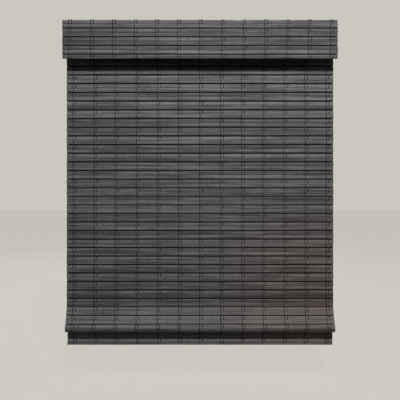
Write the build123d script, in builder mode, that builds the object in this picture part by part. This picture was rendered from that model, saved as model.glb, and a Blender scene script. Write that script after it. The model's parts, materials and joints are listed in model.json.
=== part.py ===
from build123d import *
import os
from math import cos, radians, sin

# Bamboo roman shade, lowered. X runs along the width, +Y to the window behind, +Z up.
# The origin lies on the ceiling, at the middle of the four bracket screws.

# Driving dimensions in millimetres: the woven mats
WIDTH = 762.0
SLAT_A = 11.4
SLAT_B = 11.1
SLAT_THICKNESS = 2.0
SLAT_EASE = 0.5
THIN_GAP = 0.1
WOVEN_GAP = 1.4
TWINE_COUNT = 13
TWINE_EDGE = 20.0
TWINE_WIDTH = 1.2
TWINE_THICKNESS = 0.8
TWINE_PAIR = 5.2
WEFT_THICKNESS = 1.4
WEFT_CLEARANCE = 0.05
BENT_WEFT_CLEARANCE = 0.1

# Panel: the weight below opens its gaps, most in the top fold
PANEL_Y = 10.0
TOP_AXIS_Z = -110.0
FOLD_GAPS = (2.35, 2.1, 1.8, 1.55)
FLAP_SLATS = 7
TOP_PERIODS = 3
AXIS_CLEARANCE = 0.15

# Headrail, its ends and its brackets
RAIL_DEPTH = 46.0
RAIL_HEIGHT = 30.0
RAIL_WALL = 1.0
RAIL_LIP = 3.5
RAIL_SHORTER = 6.0
RAIL_CORNER = 2.0
CAP_PLATE = 2.5
CAP_PLUG = 9.0
CAP_WALL = 1.6
FIT_CLEARANCE = 0.15
BRACKET_LENGTH = 36.0
BRACKET_PLATE = 1.5
BRACKET_INSET = 81.0
HOOK_THICKNESS = 1.2
HOOK_REACH = 2.6
SCREW_HOLE_RADIUS = 2.25
SCREW_SPACING_Y = 22.0

# Hanging strip under the headrail and the valance strip in front of it
HANGING_STRIP_THICKNESS = 5.5
HANGING_STRIP_HEIGHT = 36.0
VALANCE_STRIP_THICKNESS = 3.0
VALANCE_TOP_Z = -1.0
VALANCE_PERIODS = 4

# Lift drive inside the headrail
SHAFT_RADIUS = 3.0
SHAFT_FLAT = 2.4
SHAFT_OVERHANG = 14.0
CORD_RADIUS = 0.7
CORD_SIDES = 8
CORD_BEHIND_PANEL = 9.5
CORD_CLEARANCE = 0.2
CORD_TO_WALL = 2.5
CORD_SLOT_LENGTH = 7.0
CORD_SLOT_WIDTH = 2.8
SPOOL_RADIUS = 9.1
SPOOL_LENGTH = 30.0
SPOOL_FLANGE = 1.6
SPOOL_FLANGE_RADIUS = 11.6
SPOOL_CORE = 1.8
JOURNAL_RADIUS = 5.0
JOURNAL_LENGTH = 5.0
RUNNING_CLEARANCE = 0.05
CRADLE_PLATE = 3.0
CRADLE_BASE = 2.0
CRADLE_CLEARANCE = 2.0
CRADLE_ABOVE_JOURNAL = 4.0
MOTOR_X = 40.0
MOTOR_LENGTH = 46.0
MOTOR_WALL = 1.6
DRUM_FLANGE = 1.5
DRUM_SPACING_GAP = 1.8
DRUM_HUB_SHARE = 0.62
DRUM_TO_HOUSING = 2.15
SPRING_THICKNESS = 0.4
SPRING_BELOW_FLANGE = 0.6

# Lift rings, on the back of every ring slat between two twine columns
RING_SIDES = 16
RING_COLUMNS = 3.5
RING_OUTER_RADIUS = 5.7
RING_INNER_RADIUS = 3.5
RING_THICKNESS = 2.2
RING_FOOT = 8.0
RING_FOOT_THICKNESS = 1.2
RING_BITE = 0.6

# Bottom fold: tilt of each slat from upright, forward first and curled under last
FOLD_TILTS = (0.0, 8.0, 14.0, 19.0, 23.0, 25.0, -28.0)
CURL_GAP = 1.6
RETURN_Y = -1.1
RETURN_RISE = 1.35
RETURN_TILT = 13.6
TAIL_Y = 16.9
TAIL_TOP_DROP = 14.4
TAIL_PERIODS = 3
HEM_SLAT = 6.6
BAR_HEIGHT = 20.0
BAR_THICKNESS = 5.0
BAR_SHORTER = 12.0
BAR_ABOVE_HEM = 1.4
BAR_CAP_PLATE = 1.6
BAR_CAP_LIP = 0.8
ANCHOR_WIDTH = 12.0
ANCHOR_HEIGHT = 9.0
ANCHOR_DEPTH = 6.4

# Sizes that follow from them
SLAT_HEIGHTS = {"A": SLAT_A, "B": SLAT_B}
SLAT_PAIR = SLAT_A + THIN_GAP + SLAT_B
MAT_HALF = SLAT_THICKNESS / 2 + TWINE_THICKNESS
TWINE_PITCH = (WIDTH - 2 * TWINE_EDGE) / (TWINE_COUNT - 1)
RING_X = RING_COLUMNS * TWINE_PITCH
RAIL_LENGTH = WIDTH - RAIL_SHORTER - 2 * CAP_PLATE
BRACKET_SPACING = WIDTH - 2 * BRACKET_INSET
CORD_Y = PANEL_Y + CORD_BEHIND_PANEL
RAIL_Y = CORD_Y + CORD_TO_WALL + RAIL_WALL - RAIL_DEPTH / 2
RAIL_TOP = -BRACKET_PLATE
RAIL_BOTTOM = RAIL_TOP - RAIL_HEIGHT
RAIL_FLOOR = RAIL_BOTTOM + RAIL_WALL
RAIL_INSIDE = RAIL_DEPTH / 2 - RAIL_WALL
SHAFT_Z = RAIL_BOTTOM + RAIL_HEIGHT / 2
SHAFT_Y = CORD_Y - CORD_RADIUS - CORD_CLEARANCE - SPOOL_RADIUS
HOUSING_DEPTH = 2 * (RAIL_INSIDE - FIT_CLEARANCE)
HOUSING_FRONT = RAIL_Y - HOUSING_DEPTH / 2 + MOTOR_WALL
SPOOL_ENDS = SPOOL_LENGTH / 2 + SPOOL_FLANGE
SHAFT_LENGTH = 2 * (RING_X + SPOOL_ENDS + JOURNAL_LENGTH + SHAFT_OVERHANG)
DRUM_BORE = SHAFT_RADIUS + RUNNING_CLEARANCE
DRUM_FLANGE_RADIUS = (SHAFT_Y - HOUSING_FRONT - DRUM_TO_HOUSING - DRUM_SPACING_GAP) / 3
STORE_Y = SHAFT_Y - 2 * DRUM_FLANGE_RADIUS - DRUM_SPACING_GAP
DRUM_RADIUS = DRUM_BORE + DRUM_HUB_SHARE * (DRUM_FLANGE_RADIUS - DRUM_BORE)
SPRING_COIL_RADIUS = DRUM_FLANGE_RADIUS - SPRING_BELOW_FLANGE
STRIP_Y = PANEL_Y + MAT_HALF
VALANCE_Y = RAIL_Y - RAIL_DEPTH / 2 - VALANCE_STRIP_THICKNESS - MAT_HALF
RING_Y = PANEL_Y + SLAT_THICKNESS / 2 + RING_FOOT_THICKNESS + RING_OUTER_RADIUS - RING_BITE


def save(piece, name):
    piece.part.label = name
    export_step(piece.part, f"parts/{name}.step")


def rail_plane(x):
    """Plane across the headrail, with its origin under the rail's middle."""
    return Plane(origin=(x, RAIL_Y, 0), x_dir=(0, 1, 0), z_dir=(1, 0, 0))


def rows_down(top, kinds, deep_gap):
    """Slats from a top edge downwards, as their middle heights and widths."""
    rows = []
    edge = top
    for kind in kinds:
        height = SLAT_HEIGHTS[kind]
        rows.append((edge - height / 2, height))
        edge -= height + (THIN_GAP if kind == "A" else deep_gap)
    return rows


def edges_of(rows):
    """Top and bottom of a run of slats."""
    first, last = rows[0], rows[-1]
    return first[0] + first[1] / 2, last[0] - last[1] / 2


def slat_outline(height):
    """Section of a split bamboo slat: flat back, eased front edges."""
    back = SLAT_THICKNESS / 2
    front = -SLAT_THICKNESS / 2
    half = height / 2
    Polygon(
        (back, half),
        (front + SLAT_EASE, half),
        (front, half - SLAT_EASE),
        (front, -half + SLAT_EASE),
        (front + SLAT_EASE, -half),
        (back, -half),
        align=None,
    )


def woven_slats(rows, y):
    """Upright slats of a mat, side by side."""
    with BuildPart() as slats:
        with BuildSketch(Plane.YZ.offset(-WIDTH / 2)):
            for middle, height in rows:
                with Locations((y, middle)):
                    slat_outline(height)
        extrude(amount=WIDTH)
    return slats


def strand_outline(reach):
    """Section of a warp strand: flat on the slats, and a ridge on its other side."""
    Polygon((-TWINE_WIDTH / 2, 0), (TWINE_WIDTH / 2, 0), (0, reach), align=None)


def woven_twine(top, bottom, y, wefts=(), back=True):
    """Twine of an upright mat: warp strands in front and behind, and a weft in each deep gap."""
    with BuildPart() as twine:
        with BuildSketch(Plane.XY.offset(bottom)):
            with Locations((0, y - SLAT_THICKNESS / 2)):
                with GridLocations(TWINE_PITCH, 1, TWINE_COUNT, 1):
                    with GridLocations(TWINE_PAIR, 1, 2, 1):
                        strand_outline(-TWINE_THICKNESS)
            if back:
                with Locations((0, y + SLAT_THICKNESS / 2)):
                    with GridLocations(TWINE_PITCH, 1, TWINE_COUNT, 1):
                        strand_outline(TWINE_THICKNESS)
        extrude(amount=top - bottom)
        if wefts:
            with BuildSketch(Plane.YZ.offset(-WIDTH / 2)):
                for middle, gap in wefts:
                    with Locations((y, middle)):
                        Rectangle(WEFT_THICKNESS, gap - 2 * WEFT_CLEARANCE)
            extrude(amount=WIDTH)
    return twine


def wefts_in(rows, deep_gap, above=False):
    """Middle heights and widths of the deep gaps between slats, with the one above if asked."""
    wefts = []
    if above:
        wefts.append((edges_of(rows)[0] + deep_gap / 2, deep_gap))
    for (middle, height), (lower, lower_height) in zip(rows, rows[1:]):
        top, bottom = middle - height / 2, lower + lower_height / 2
        if top - bottom > 2 * THIN_GAP:
            wefts.append(((top + bottom) / 2, top - bottom))
    return wefts


def lift_rings(z):
    """Two plastic rings, each moulded on a foot that is fixed to the back of a ring slat."""
    back = PANEL_Y + SLAT_THICKNESS / 2
    with BuildPart() as rings:
        with BuildSketch(Plane.XY.offset(z - RING_THICKNESS / 2)):
            with Locations((-RING_X, RING_Y), (RING_X, RING_Y)):
                RegularPolygon(RING_OUTER_RADIUS, RING_SIDES, rotation=180 / RING_SIDES)
        extrude(amount=RING_THICKNESS)
        with BuildSketch(Plane.XZ.offset(-back)):
            with Locations((-RING_X, z), (RING_X, z)):
                Rectangle(RING_FOOT, RING_FOOT)
        extrude(amount=-RING_FOOT_THICKNESS)
        with BuildSketch(Plane.XY.offset(z - RING_THICKNESS / 2)):
            with Locations((-RING_X, RING_Y), (RING_X, RING_Y)):
                RegularPolygon(RING_INNER_RADIUS, RING_SIDES, rotation=180 / RING_SIDES)
        extrude(amount=RING_THICKNESS, mode=Mode.SUBTRACT)
    return rings


def lift_cords(top, bottom):
    """Both lift cords between two heights."""
    with BuildPart() as cords:
        with BuildSketch(Plane.XY.offset(bottom)):
            with Locations((-RING_X, CORD_Y), (RING_X, CORD_Y)):
                RegularPolygon(CORD_RADIUS, CORD_SIDES)
        extrude(amount=top - bottom)
    return cords


os.makedirs("parts", exist_ok=True)

# Headrail: a steel channel, open at the top between two inward lips, with a slot for each cord
with BuildPart() as headrail_channel:
    with BuildSketch(rail_plane(-RAIL_LENGTH / 2)):
        with Locations((0, RAIL_BOTTOM + RAIL_HEIGHT / 2)):
            RectangleRounded(RAIL_DEPTH, RAIL_HEIGHT, RAIL_CORNER)
        with Locations((0, RAIL_BOTTOM + RAIL_HEIGHT / 2)):
            Rectangle(RAIL_DEPTH - 2 * RAIL_WALL, RAIL_HEIGHT - 2 * RAIL_WALL, mode=Mode.SUBTRACT)
        with Locations((0, RAIL_TOP - RAIL_WALL / 2)):
            Rectangle(RAIL_DEPTH - 2 * RAIL_LIP, 2 * RAIL_WALL, mode=Mode.SUBTRACT)
    extrude(amount=RAIL_LENGTH)
    with BuildSketch(Plane.XY.offset(RAIL_BOTTOM)):
        with Locations((-RING_X, CORD_Y), (RING_X, CORD_Y)):
            SlotOverall(CORD_SLOT_LENGTH, CORD_SLOT_WIDTH)
    extrude(amount=RAIL_WALL, mode=Mode.SUBTRACT)
save(headrail_channel, "headrail_channel")

# End caps: a plate over the channel's end and a hollow plug inside it
PLUG_HEIGHT = RAIL_HEIGHT - 2 * RAIL_WALL - 2 * FIT_CLEARANCE
PLUG_DEPTH = RAIL_DEPTH - 2 * RAIL_WALL - 2 * FIT_CLEARANCE
for side, name in ((-1, "end_cap_left"), (1, "end_cap_right")):
    with BuildPart() as end_cap:
        with BuildSketch(rail_plane(side * RAIL_LENGTH / 2)):
            with Locations((0, SHAFT_Z)):
                RectangleRounded(RAIL_DEPTH, RAIL_HEIGHT, RAIL_CORNER)
        extrude(amount=side * CAP_PLATE)
        with BuildSketch(rail_plane(side * RAIL_LENGTH / 2)):
            with Locations((0, SHAFT_Z)):
                Rectangle(PLUG_DEPTH, PLUG_HEIGHT)
                Rectangle(PLUG_DEPTH - 2 * CAP_WALL, PLUG_HEIGHT - 2 * CAP_WALL, mode=Mode.SUBTRACT)
        extrude(amount=-side * CAP_PLUG)
    save(end_cap, name)

# Ceiling brackets: a plate with two screw holes and a hook under each lip of the channel
LIP_INSIDE = RAIL_DEPTH / 2 - RAIL_LIP
HOOK_TOP = RAIL_TOP - RAIL_WALL - FIT_CLEARANCE
for side, name in ((-1, "bracket_left"), (1, "bracket_right")):
    bracket_x = side * BRACKET_SPACING / 2
    with BuildPart() as bracket:
        with BuildSketch(rail_plane(bracket_x - BRACKET_LENGTH / 2)):
            with Locations((0, -BRACKET_PLATE / 2)):
                Rectangle(RAIL_DEPTH, BRACKET_PLATE)
            with BuildLine():
                web = LIP_INSIDE - FIT_CLEARANCE
                Polyline(
                    (web, -BRACKET_PLATE),
                    (web, HOOK_TOP),
                    (web + HOOK_REACH, HOOK_TOP),
                    (web + HOOK_REACH, HOOK_TOP - HOOK_THICKNESS),
                    (web - HOOK_THICKNESS, HOOK_TOP - HOOK_THICKNESS),
                    (web - HOOK_THICKNESS, -BRACKET_PLATE),
                    close=True,
                )
            make_face()
            mirror(about=Plane.YZ)
        extrude(amount=BRACKET_LENGTH)
        with BuildSketch(Plane.XY.offset(-BRACKET_PLATE)):
            with Locations((bracket_x, RAIL_Y)):
                with GridLocations(1, SCREW_SPACING_Y, 1, 2):
                    Circle(SCREW_HOLE_RADIUS)
        extrude(amount=BRACKET_PLATE, mode=Mode.SUBTRACT)
    save(bracket, name)

# Hanging strip: a wooden lath under the channel, which the panel is stapled to
STRIP_MIDDLE_Y = STRIP_Y + HANGING_STRIP_THICKNESS / 2
with BuildPart() as hanging_strip:
    with BuildSketch(Plane.YZ.offset(-RAIL_LENGTH / 2)):
        with Locations((STRIP_MIDDLE_Y, RAIL_BOTTOM - HANGING_STRIP_HEIGHT / 2)):
            Rectangle(HANGING_STRIP_THICKNESS, HANGING_STRIP_HEIGHT)
    extrude(amount=RAIL_LENGTH)
save(hanging_strip, "hanging_strip")

with BuildPart() as valance_strip:
    with BuildSketch(Plane.YZ.offset(-RAIL_LENGTH / 2)):
        with Locations((RAIL_Y - (RAIL_DEPTH + VALANCE_STRIP_THICKNESS) / 2, SHAFT_Z)):
            Rectangle(VALANCE_STRIP_THICKNESS, RAIL_HEIGHT)
    extrude(amount=RAIL_LENGTH)
save(valance_strip, "valance_strip")

# Valance: a short mat on the strip, from the ceiling to below the first fold's slats
valance_rows = rows_down(VALANCE_TOP_Z, "AB" * VALANCE_PERIODS + "A", WOVEN_GAP)
save(woven_slats(valance_rows, VALANCE_Y), "valance_slats")
save(woven_twine(*edges_of(valance_rows), VALANCE_Y, wefts_in(valance_rows, WOVEN_GAP)), "valance_twine")

# Top of the panel, which stays still: its last slat is the ring slat that the first fold turns on
top_height = TOP_PERIODS * SLAT_PAIR + (TOP_PERIODS - 1) * FOLD_GAPS[0]
top_rows = rows_down(TOP_AXIS_Z - SLAT_B / 2 + top_height, "AB" * TOP_PERIODS, FOLD_GAPS[0])
save(woven_slats(top_rows, PANEL_Y), "top_slats")
save(woven_twine(*edges_of(top_rows), PANEL_Y, wefts_in(top_rows, FOLD_GAPS[0])), "top_twine")

# Folds: an upper flap that ends in the crease slat, a lower flap, and a ring slat with its rings
axis_z = TOP_AXIS_Z
cord_top = SHAFT_Z
for number, deep_gap in enumerate(FOLD_GAPS, start=1):
    fold_rows = rows_down(axis_z - SLAT_B / 2 - deep_gap, "AB" * FLAP_SLATS, deep_gap)
    upper_rows, lower_rows, ring_rows = fold_rows[:FLAP_SLATS], fold_rows[FLAP_SLATS:-1], fold_rows[-1:]
    next_axis_z = ring_rows[0][0]
    crease_z = (axis_z + next_axis_z) / 2
    save(woven_slats(upper_rows, PANEL_Y), f"upper_flap_slats_{number}")
    upper_wefts = wefts_in(upper_rows, deep_gap, above=True)
    save(woven_twine(*edges_of(upper_rows), PANEL_Y, upper_wefts), f"upper_flap_twine_{number}")
    save(woven_slats(lower_rows, PANEL_Y), f"lower_flap_slats_{number}")
    lower_wefts = wefts_in(lower_rows, deep_gap)
    save(woven_twine(*edges_of(lower_rows), PANEL_Y, lower_wefts), f"lower_flap_twine_{number}")
    if number < len(FOLD_GAPS):
        save(woven_slats(ring_rows, PANEL_Y), f"ring_slat_{number}")
        save(woven_twine(*edges_of(ring_rows), PANEL_Y, back=False), f"ring_slat_twine_{number}")
    save(lift_rings(next_axis_z), f"lift_rings_{number}")
    save(lift_cords(cord_top, next_axis_z), f"lift_cords_{number}")
    print(f"fold {number}: axis {axis_z:.3f}, crease {crease_z:.3f}, next axis {next_axis_z:.3f}")
    axis_z = next_axis_z
    cord_top = next_axis_z

# Bottom fold: the mat leaves the last ring slat, leans forward, curls under and climbs back up


def course(start, steps):
    """Corner points of a bent mat's middle line, from each slat's length with its gaps and its tilt."""
    points = [start]
    for length, tilt in steps:
        y, z = points[-1]
        points.append((y - length * sin(radians(tilt)), z - length * cos(radians(tilt))))
    return points


def beside(points, distance):
    """The course moved sideways, its corners mitred; a positive distance is the mat's back."""
    tilts = []
    for (y0, z0), (y1, z1) in zip(points, points[1:]):
        length = ((y1 - y0) ** 2 + (z1 - z0) ** 2) ** 0.5
        tilts.append(((y0 - y1) / length, (z0 - z1) / length))
    moved = []
    for index, (y, z) in enumerate(points):
        s0, c0 = tilts[max(index - 1, 0)]
        s1, c1 = tilts[min(index, len(tilts) - 1)]
        share = 1 + s0 * s1 + c0 * c1
        moved.append((y + distance * (c0 + c1) / share, z - distance * (s0 + s1) / share))
    return moved


def bent_slats(points, widths, gaps, tilts):
    """Slats along a bent course, each half a gap from the corner it starts at."""
    for (y0, z0), (y1, z1), width, gap, tilt in zip(points, points[1:], widths, gaps, tilts):
        length = ((y1 - y0) ** 2 + (z1 - z0) ** 2) ** 0.5
        share = (gap + width) / (2 * length)
        middle = (y0 + share * (y1 - y0), z0 + share * (z1 - z0), 0)
        with Locations(Location(middle, (0, 0, -tilt))):
            slat_outline(width)


def bent_wefts(points, gaps, tilts):
    """A weft in each deep gap of a bent course, at the corner between two slats."""
    for (y, z), gap, above, below in zip(points[1:-1], gaps[1:-1], tilts, tilts[1:]):
        if gap == WOVEN_GAP:
            with Locations(Location((y, z, 0), (0, 0, -(above + below) / 2))):
                Rectangle(WEFT_THICKNESS, gap - 2 * BENT_WEFT_CLEARANCE)


def bent_strip(points, near, far):
    """Section of a strand that lies on a bent mat, between two distances from its middle line."""
    Polygon(*beside(points, near), *reversed(beside(points, far)), align=None)


def strand_planes(spacing):
    """One plane at the left face of each strand, in pairs where they are spaced."""
    offsets = (-spacing / 2, spacing / 2) if spacing else (0.0,)
    first = -WIDTH / 2 + TWINE_EDGE - TWINE_WIDTH / 2
    return [Plane.YZ.offset(first + column * TWINE_PITCH + offset)
            for column in range(TWINE_COUNT) for offset in offsets]


front_widths = [SLAT_B, SLAT_A, SLAT_B, SLAT_A, SLAT_B, SLAT_A, SLAT_B]
front_gaps = [0.0, WOVEN_GAP, THIN_GAP, WOVEN_GAP, THIN_GAP, WOVEN_GAP, CURL_GAP, 0.0]
front_steps = [
    (width + (above + below) / 2, tilt)
    for width, above, below, tilt in zip(front_widths, front_gaps, front_gaps[1:], FOLD_TILTS)
]
front_course = course((PANEL_Y, axis_z + SLAT_B / 2), front_steps)
front_end_y, front_end_z = front_course[-1]

return_widths = [SLAT_A, SLAT_B, SLAT_A, SLAT_B, SLAT_A]
return_gaps = [0.0, THIN_GAP, WOVEN_GAP, THIN_GAP, WOVEN_GAP, 0.0]
return_steps = [
    (-(width + (above + below) / 2), RETURN_TILT)
    for width, above, below in zip(return_widths, return_gaps, return_gaps[1:])
]
return_course = course((RETURN_Y, front_end_z + RETURN_RISE), return_steps)

with BuildPart() as bottom_fold_slats:
    with BuildSketch(Plane.YZ.offset(-WIDTH / 2)):
        bent_slats(front_course, front_widths, front_gaps, FOLD_TILTS)
        bent_slats(return_course, return_widths, return_gaps, [RETURN_TILT] * len(return_widths))
    extrude(amount=WIDTH)
save(bottom_fold_slats, "bottom_fold_slats")

straight_return = [return_course[-1], return_course[0]]
with BuildPart() as bottom_fold_twine:
    with BuildSketch(*strand_planes(TWINE_PAIR)):
        bent_strip(front_course, -SLAT_THICKNESS / 2, -MAT_HALF)
    extrude(amount=TWINE_WIDTH)
    with BuildSketch(*strand_planes(0)):
        bent_strip(straight_return, SLAT_THICKNESS / 2, MAT_HALF)
    extrude(amount=TWINE_WIDTH)
    with BuildSketch(Plane.YZ.offset(-WIDTH / 2)):
        bent_wefts(front_course, front_gaps, FOLD_TILTS)
        bent_wefts(return_course, return_gaps, [RETURN_TILT] * len(return_widths))
    extrude(amount=WIDTH)
save(bottom_fold_twine, "bottom_fold_twine")

# Tail: the mat's end hangs behind the fold, down to its narrow hem slat
tail_top = axis_z - TAIL_TOP_DROP
tail_rows = rows_down(tail_top, "B" + "AB" * TAIL_PERIODS + "A", WOVEN_GAP)
tail_rows.append((edges_of(tail_rows)[1] - THIN_GAP - HEM_SLAT / 2, HEM_SLAT))
tail_bottom = edges_of(tail_rows)[1]
save(woven_slats(tail_rows, TAIL_Y), "tail_slats")
save(woven_twine(tail_top, tail_bottom, TAIL_Y, wefts_in(tail_rows, WOVEN_GAP)), "tail_twine")

# Bottom bar: a stained wooden weight on the back of the tail, with a cap over each end
bar_front = TAIL_Y + MAT_HALF
bar_middle = (bar_front + BAR_THICKNESS / 2, tail_bottom + BAR_ABOVE_HEM + BAR_HEIGHT / 2)
BAR_LENGTH = WIDTH - BAR_SHORTER
with BuildPart() as bottom_bar:
    with BuildSketch(Plane.YZ.offset(-BAR_LENGTH / 2)):
        with Locations(bar_middle):
            Rectangle(BAR_THICKNESS, BAR_HEIGHT)
    extrude(amount=BAR_LENGTH)
save(bottom_bar, "bottom_bar")

with BuildPart() as bar_caps:
    for side in (-1, 1):
        with BuildSketch(Plane.YZ.offset(side * BAR_LENGTH / 2)):
            with Locations((bar_middle[0] + BAR_CAP_LIP / 2, bar_middle[1])):
                Rectangle(BAR_THICKNESS + BAR_CAP_LIP, BAR_HEIGHT + 2 * BAR_CAP_LIP)
        extrude(amount=side * BAR_CAP_PLATE)
save(bar_caps, "bar_caps")

# Cord anchors: a block on the tail's top slat takes the end of each lift cord
anchor_front = TAIL_Y + SLAT_THICKNESS / 2
anchor_top = tail_top - (SLAT_B - ANCHOR_HEIGHT) / 2
with BuildPart() as cord_anchors:
    with BuildSketch(Plane.XZ.offset(-anchor_front)):
        with Locations((-RING_X, anchor_top - ANCHOR_HEIGHT / 2), (RING_X, anchor_top - ANCHOR_HEIGHT / 2)):
            Rectangle(ANCHOR_WIDTH, ANCHOR_HEIGHT)
    extrude(amount=-ANCHOR_DEPTH)
save(cord_anchors, "cord_anchors")
save(lift_cords(axis_z, anchor_top), "cord_ends")

# Lift drive: a D-shaped shaft turns a spool over each cord and the drum of the spring motor
with BuildPart() as drive_shaft:
    with BuildSketch(Plane.YZ.offset(-SHAFT_LENGTH / 2)):
        with Locations((SHAFT_Y, SHAFT_Z)):
            Circle(SHAFT_RADIUS)
        with Locations((SHAFT_Y, SHAFT_Z + SHAFT_FLAT + SHAFT_RADIUS / 2)):
            Rectangle(2 * SHAFT_RADIUS, SHAFT_RADIUS, mode=Mode.SUBTRACT)
    extrude(amount=SHAFT_LENGTH)
save(drive_shaft, "drive_shaft")

for side, name in ((-1, "cord_spool_left"), (1, "cord_spool_right")):
    with BuildPart() as cord_spool:
        with BuildSketch(Plane.XY.offset(SHAFT_Z)):
            with BuildLine():
                Polyline(
                    (side * RING_X - SPOOL_ENDS - JOURNAL_LENGTH, SHAFT_Y + SHAFT_RADIUS + RUNNING_CLEARANCE),
                    (side * RING_X - SPOOL_ENDS - JOURNAL_LENGTH, SHAFT_Y + JOURNAL_RADIUS),
                    (side * RING_X - SPOOL_ENDS, SHAFT_Y + JOURNAL_RADIUS),
                    (side * RING_X - SPOOL_ENDS, SHAFT_Y + SPOOL_FLANGE_RADIUS),
                    (side * RING_X - SPOOL_LENGTH / 2, SHAFT_Y + SPOOL_FLANGE_RADIUS),
                    (side * RING_X - SPOOL_LENGTH / 2, SHAFT_Y + SPOOL_RADIUS),
                    (side * RING_X + SPOOL_LENGTH / 2, SHAFT_Y + SPOOL_RADIUS),
                    (side * RING_X + SPOOL_LENGTH / 2, SHAFT_Y + SPOOL_FLANGE_RADIUS),
                    (side * RING_X + SPOOL_ENDS, SHAFT_Y + SPOOL_FLANGE_RADIUS),
                    (side * RING_X + SPOOL_ENDS, SHAFT_Y + JOURNAL_RADIUS),
                    (side * RING_X + SPOOL_ENDS + JOURNAL_LENGTH, SHAFT_Y + JOURNAL_RADIUS),
                    (side * RING_X + SPOOL_ENDS + JOURNAL_LENGTH, SHAFT_Y + SHAFT_RADIUS + RUNNING_CLEARANCE),
                    close=True,
                )
            make_face()
        revolve(axis=Axis((0, SHAFT_Y, SHAFT_Z), (1, 0, 0)))
    save(cord_spool, name)

# Spool cradles: a base on the channel's floor and two plates that carry the spool's journals
CRADLE_INSIDE = SPOOL_ENDS + FIT_CLEARANCE
CRADLE_TOP = SHAFT_Z + JOURNAL_RADIUS + CRADLE_ABOVE_JOURNAL
CRADLE_DEPTH = 2 * (RAIL_INSIDE - CRADLE_CLEARANCE)
for side, name in ((-1, "spool_cradle_left"), (1, "spool_cradle_right")):
    with BuildPart() as cradle:
        with BuildSketch(Plane.XY.offset(RAIL_FLOOR)):
            with Locations((side * RING_X, RAIL_Y)):
                Rectangle(2 * (CRADLE_INSIDE + CRADLE_PLATE), CRADLE_DEPTH)
            with Locations((side * RING_X, CORD_Y)):
                Rectangle(SPOOL_LENGTH, CORD_SLOT_WIDTH, mode=Mode.SUBTRACT)
        extrude(amount=CRADLE_BASE)
        for end in (-1, 1):
            with BuildSketch(Plane.YZ.offset(side * RING_X + end * CRADLE_INSIDE)):
                with Locations((RAIL_Y, (RAIL_FLOOR + CRADLE_TOP) / 2)):
                    Rectangle(CRADLE_DEPTH, CRADLE_TOP - RAIL_FLOOR)
                with Locations((SHAFT_Y, SHAFT_Z)):
                    Circle(JOURNAL_RADIUS + RUNNING_CLEARANCE, mode=Mode.SUBTRACT)
            extrude(amount=end * CRADLE_PLATE)
    save(cradle, name)

# Spring motor: an open housing, the drum on the shaft, and the spool that stores the spring
HOUSING_TOP = RAIL_TOP - RAIL_WALL - FIT_CLEARANCE
with BuildPart() as motor_housing:
    with BuildSketch(Plane.XY.offset(RAIL_FLOOR)):
        with Locations((MOTOR_X + MOTOR_LENGTH / 2, RAIL_Y)):
            Rectangle(MOTOR_LENGTH, HOUSING_DEPTH)
    extrude(amount=HOUSING_TOP - RAIL_FLOOR)
    with BuildSketch(Plane.XY.offset(RAIL_FLOOR + MOTOR_WALL)):
        with Locations((MOTOR_X + MOTOR_LENGTH / 2, RAIL_Y)):
            Rectangle(MOTOR_LENGTH - 2 * MOTOR_WALL, HOUSING_DEPTH - 2 * MOTOR_WALL)
    extrude(amount=HOUSING_TOP - RAIL_FLOOR, mode=Mode.SUBTRACT)
    with BuildSketch(Plane.YZ.offset(MOTOR_X)):
        with Locations((SHAFT_Y, SHAFT_Z), (STORE_Y, SHAFT_Z)):
            Circle(SHAFT_RADIUS + 2 * RUNNING_CLEARANCE)
    extrude(amount=MOTOR_LENGTH, mode=Mode.SUBTRACT)
save(motor_housing, "motor_housing")

DRUM_LENGTH = MOTOR_LENGTH - 2 * MOTOR_WALL - 2 * FIT_CLEARANCE
DRUM_START = MOTOR_X + MOTOR_WALL + FIT_CLEARANCE


def flanged_drum(y, hub_radius):
    """Hub with a flange at each end and a hole through it, on an axis along X."""
    ends = (Plane.YZ.offset(DRUM_START), Plane.YZ.offset(DRUM_START + DRUM_LENGTH - DRUM_FLANGE))
    with BuildPart() as drum:
        with BuildSketch(Plane.YZ.offset(DRUM_START)):
            with Locations((y, SHAFT_Z)):
                Circle(hub_radius)
        extrude(amount=DRUM_LENGTH)
        with BuildSketch(*ends):
            with Locations((y, SHAFT_Z)):
                Circle(DRUM_FLANGE_RADIUS)
        extrude(amount=DRUM_FLANGE)
        with BuildSketch(Plane.YZ.offset(DRUM_START)):
            with Locations((y, SHAFT_Z)):
                Circle(DRUM_BORE)
        extrude(amount=DRUM_LENGTH, mode=Mode.SUBTRACT)
    return drum


save(flanged_drum(SHAFT_Y, DRUM_RADIUS), "motor_drum")
save(flanged_drum(STORE_Y, SPRING_COIL_RADIUS), "spring_spool")

# Axle of the spring spool, held in the housing's end walls
with BuildPart() as spring_axle:
    with BuildSketch(Plane.YZ.offset(MOTOR_X)):
        with Locations((STORE_Y, SHAFT_Z)):
            Circle(SHAFT_RADIUS)
    extrude(amount=MOTOR_LENGTH)
save(spring_axle, "spring_axle")

# Spring ribbon: the stretch of the flat spring between the two, over the top
SPRING_WIDTH = DRUM_LENGTH - 2 * DRUM_FLANGE - 2 * FIT_CLEARANCE
with BuildPart() as spring_ribbon:
    with BuildSketch(Plane.YZ.offset(DRUM_START + DRUM_FLANGE + FIT_CLEARANCE)):
        with BuildLine():
            run = SHAFT_Y - STORE_Y
            store_top = SHAFT_Z + SPRING_COIL_RADIUS + CORD_CLEARANCE
            drum_top = SHAFT_Z + DRUM_RADIUS + CORD_CLEARANCE
            Polyline(
                (STORE_Y, store_top),
                (SHAFT_Y, drum_top),
                (SHAFT_Y, drum_top + SPRING_THICKNESS),
                (STORE_Y, store_top + SPRING_THICKNESS),
                close=True,
            )
        make_face()
    extrude(amount=SPRING_WIDTH)
save(spring_ribbon, "spring_ribbon")

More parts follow.
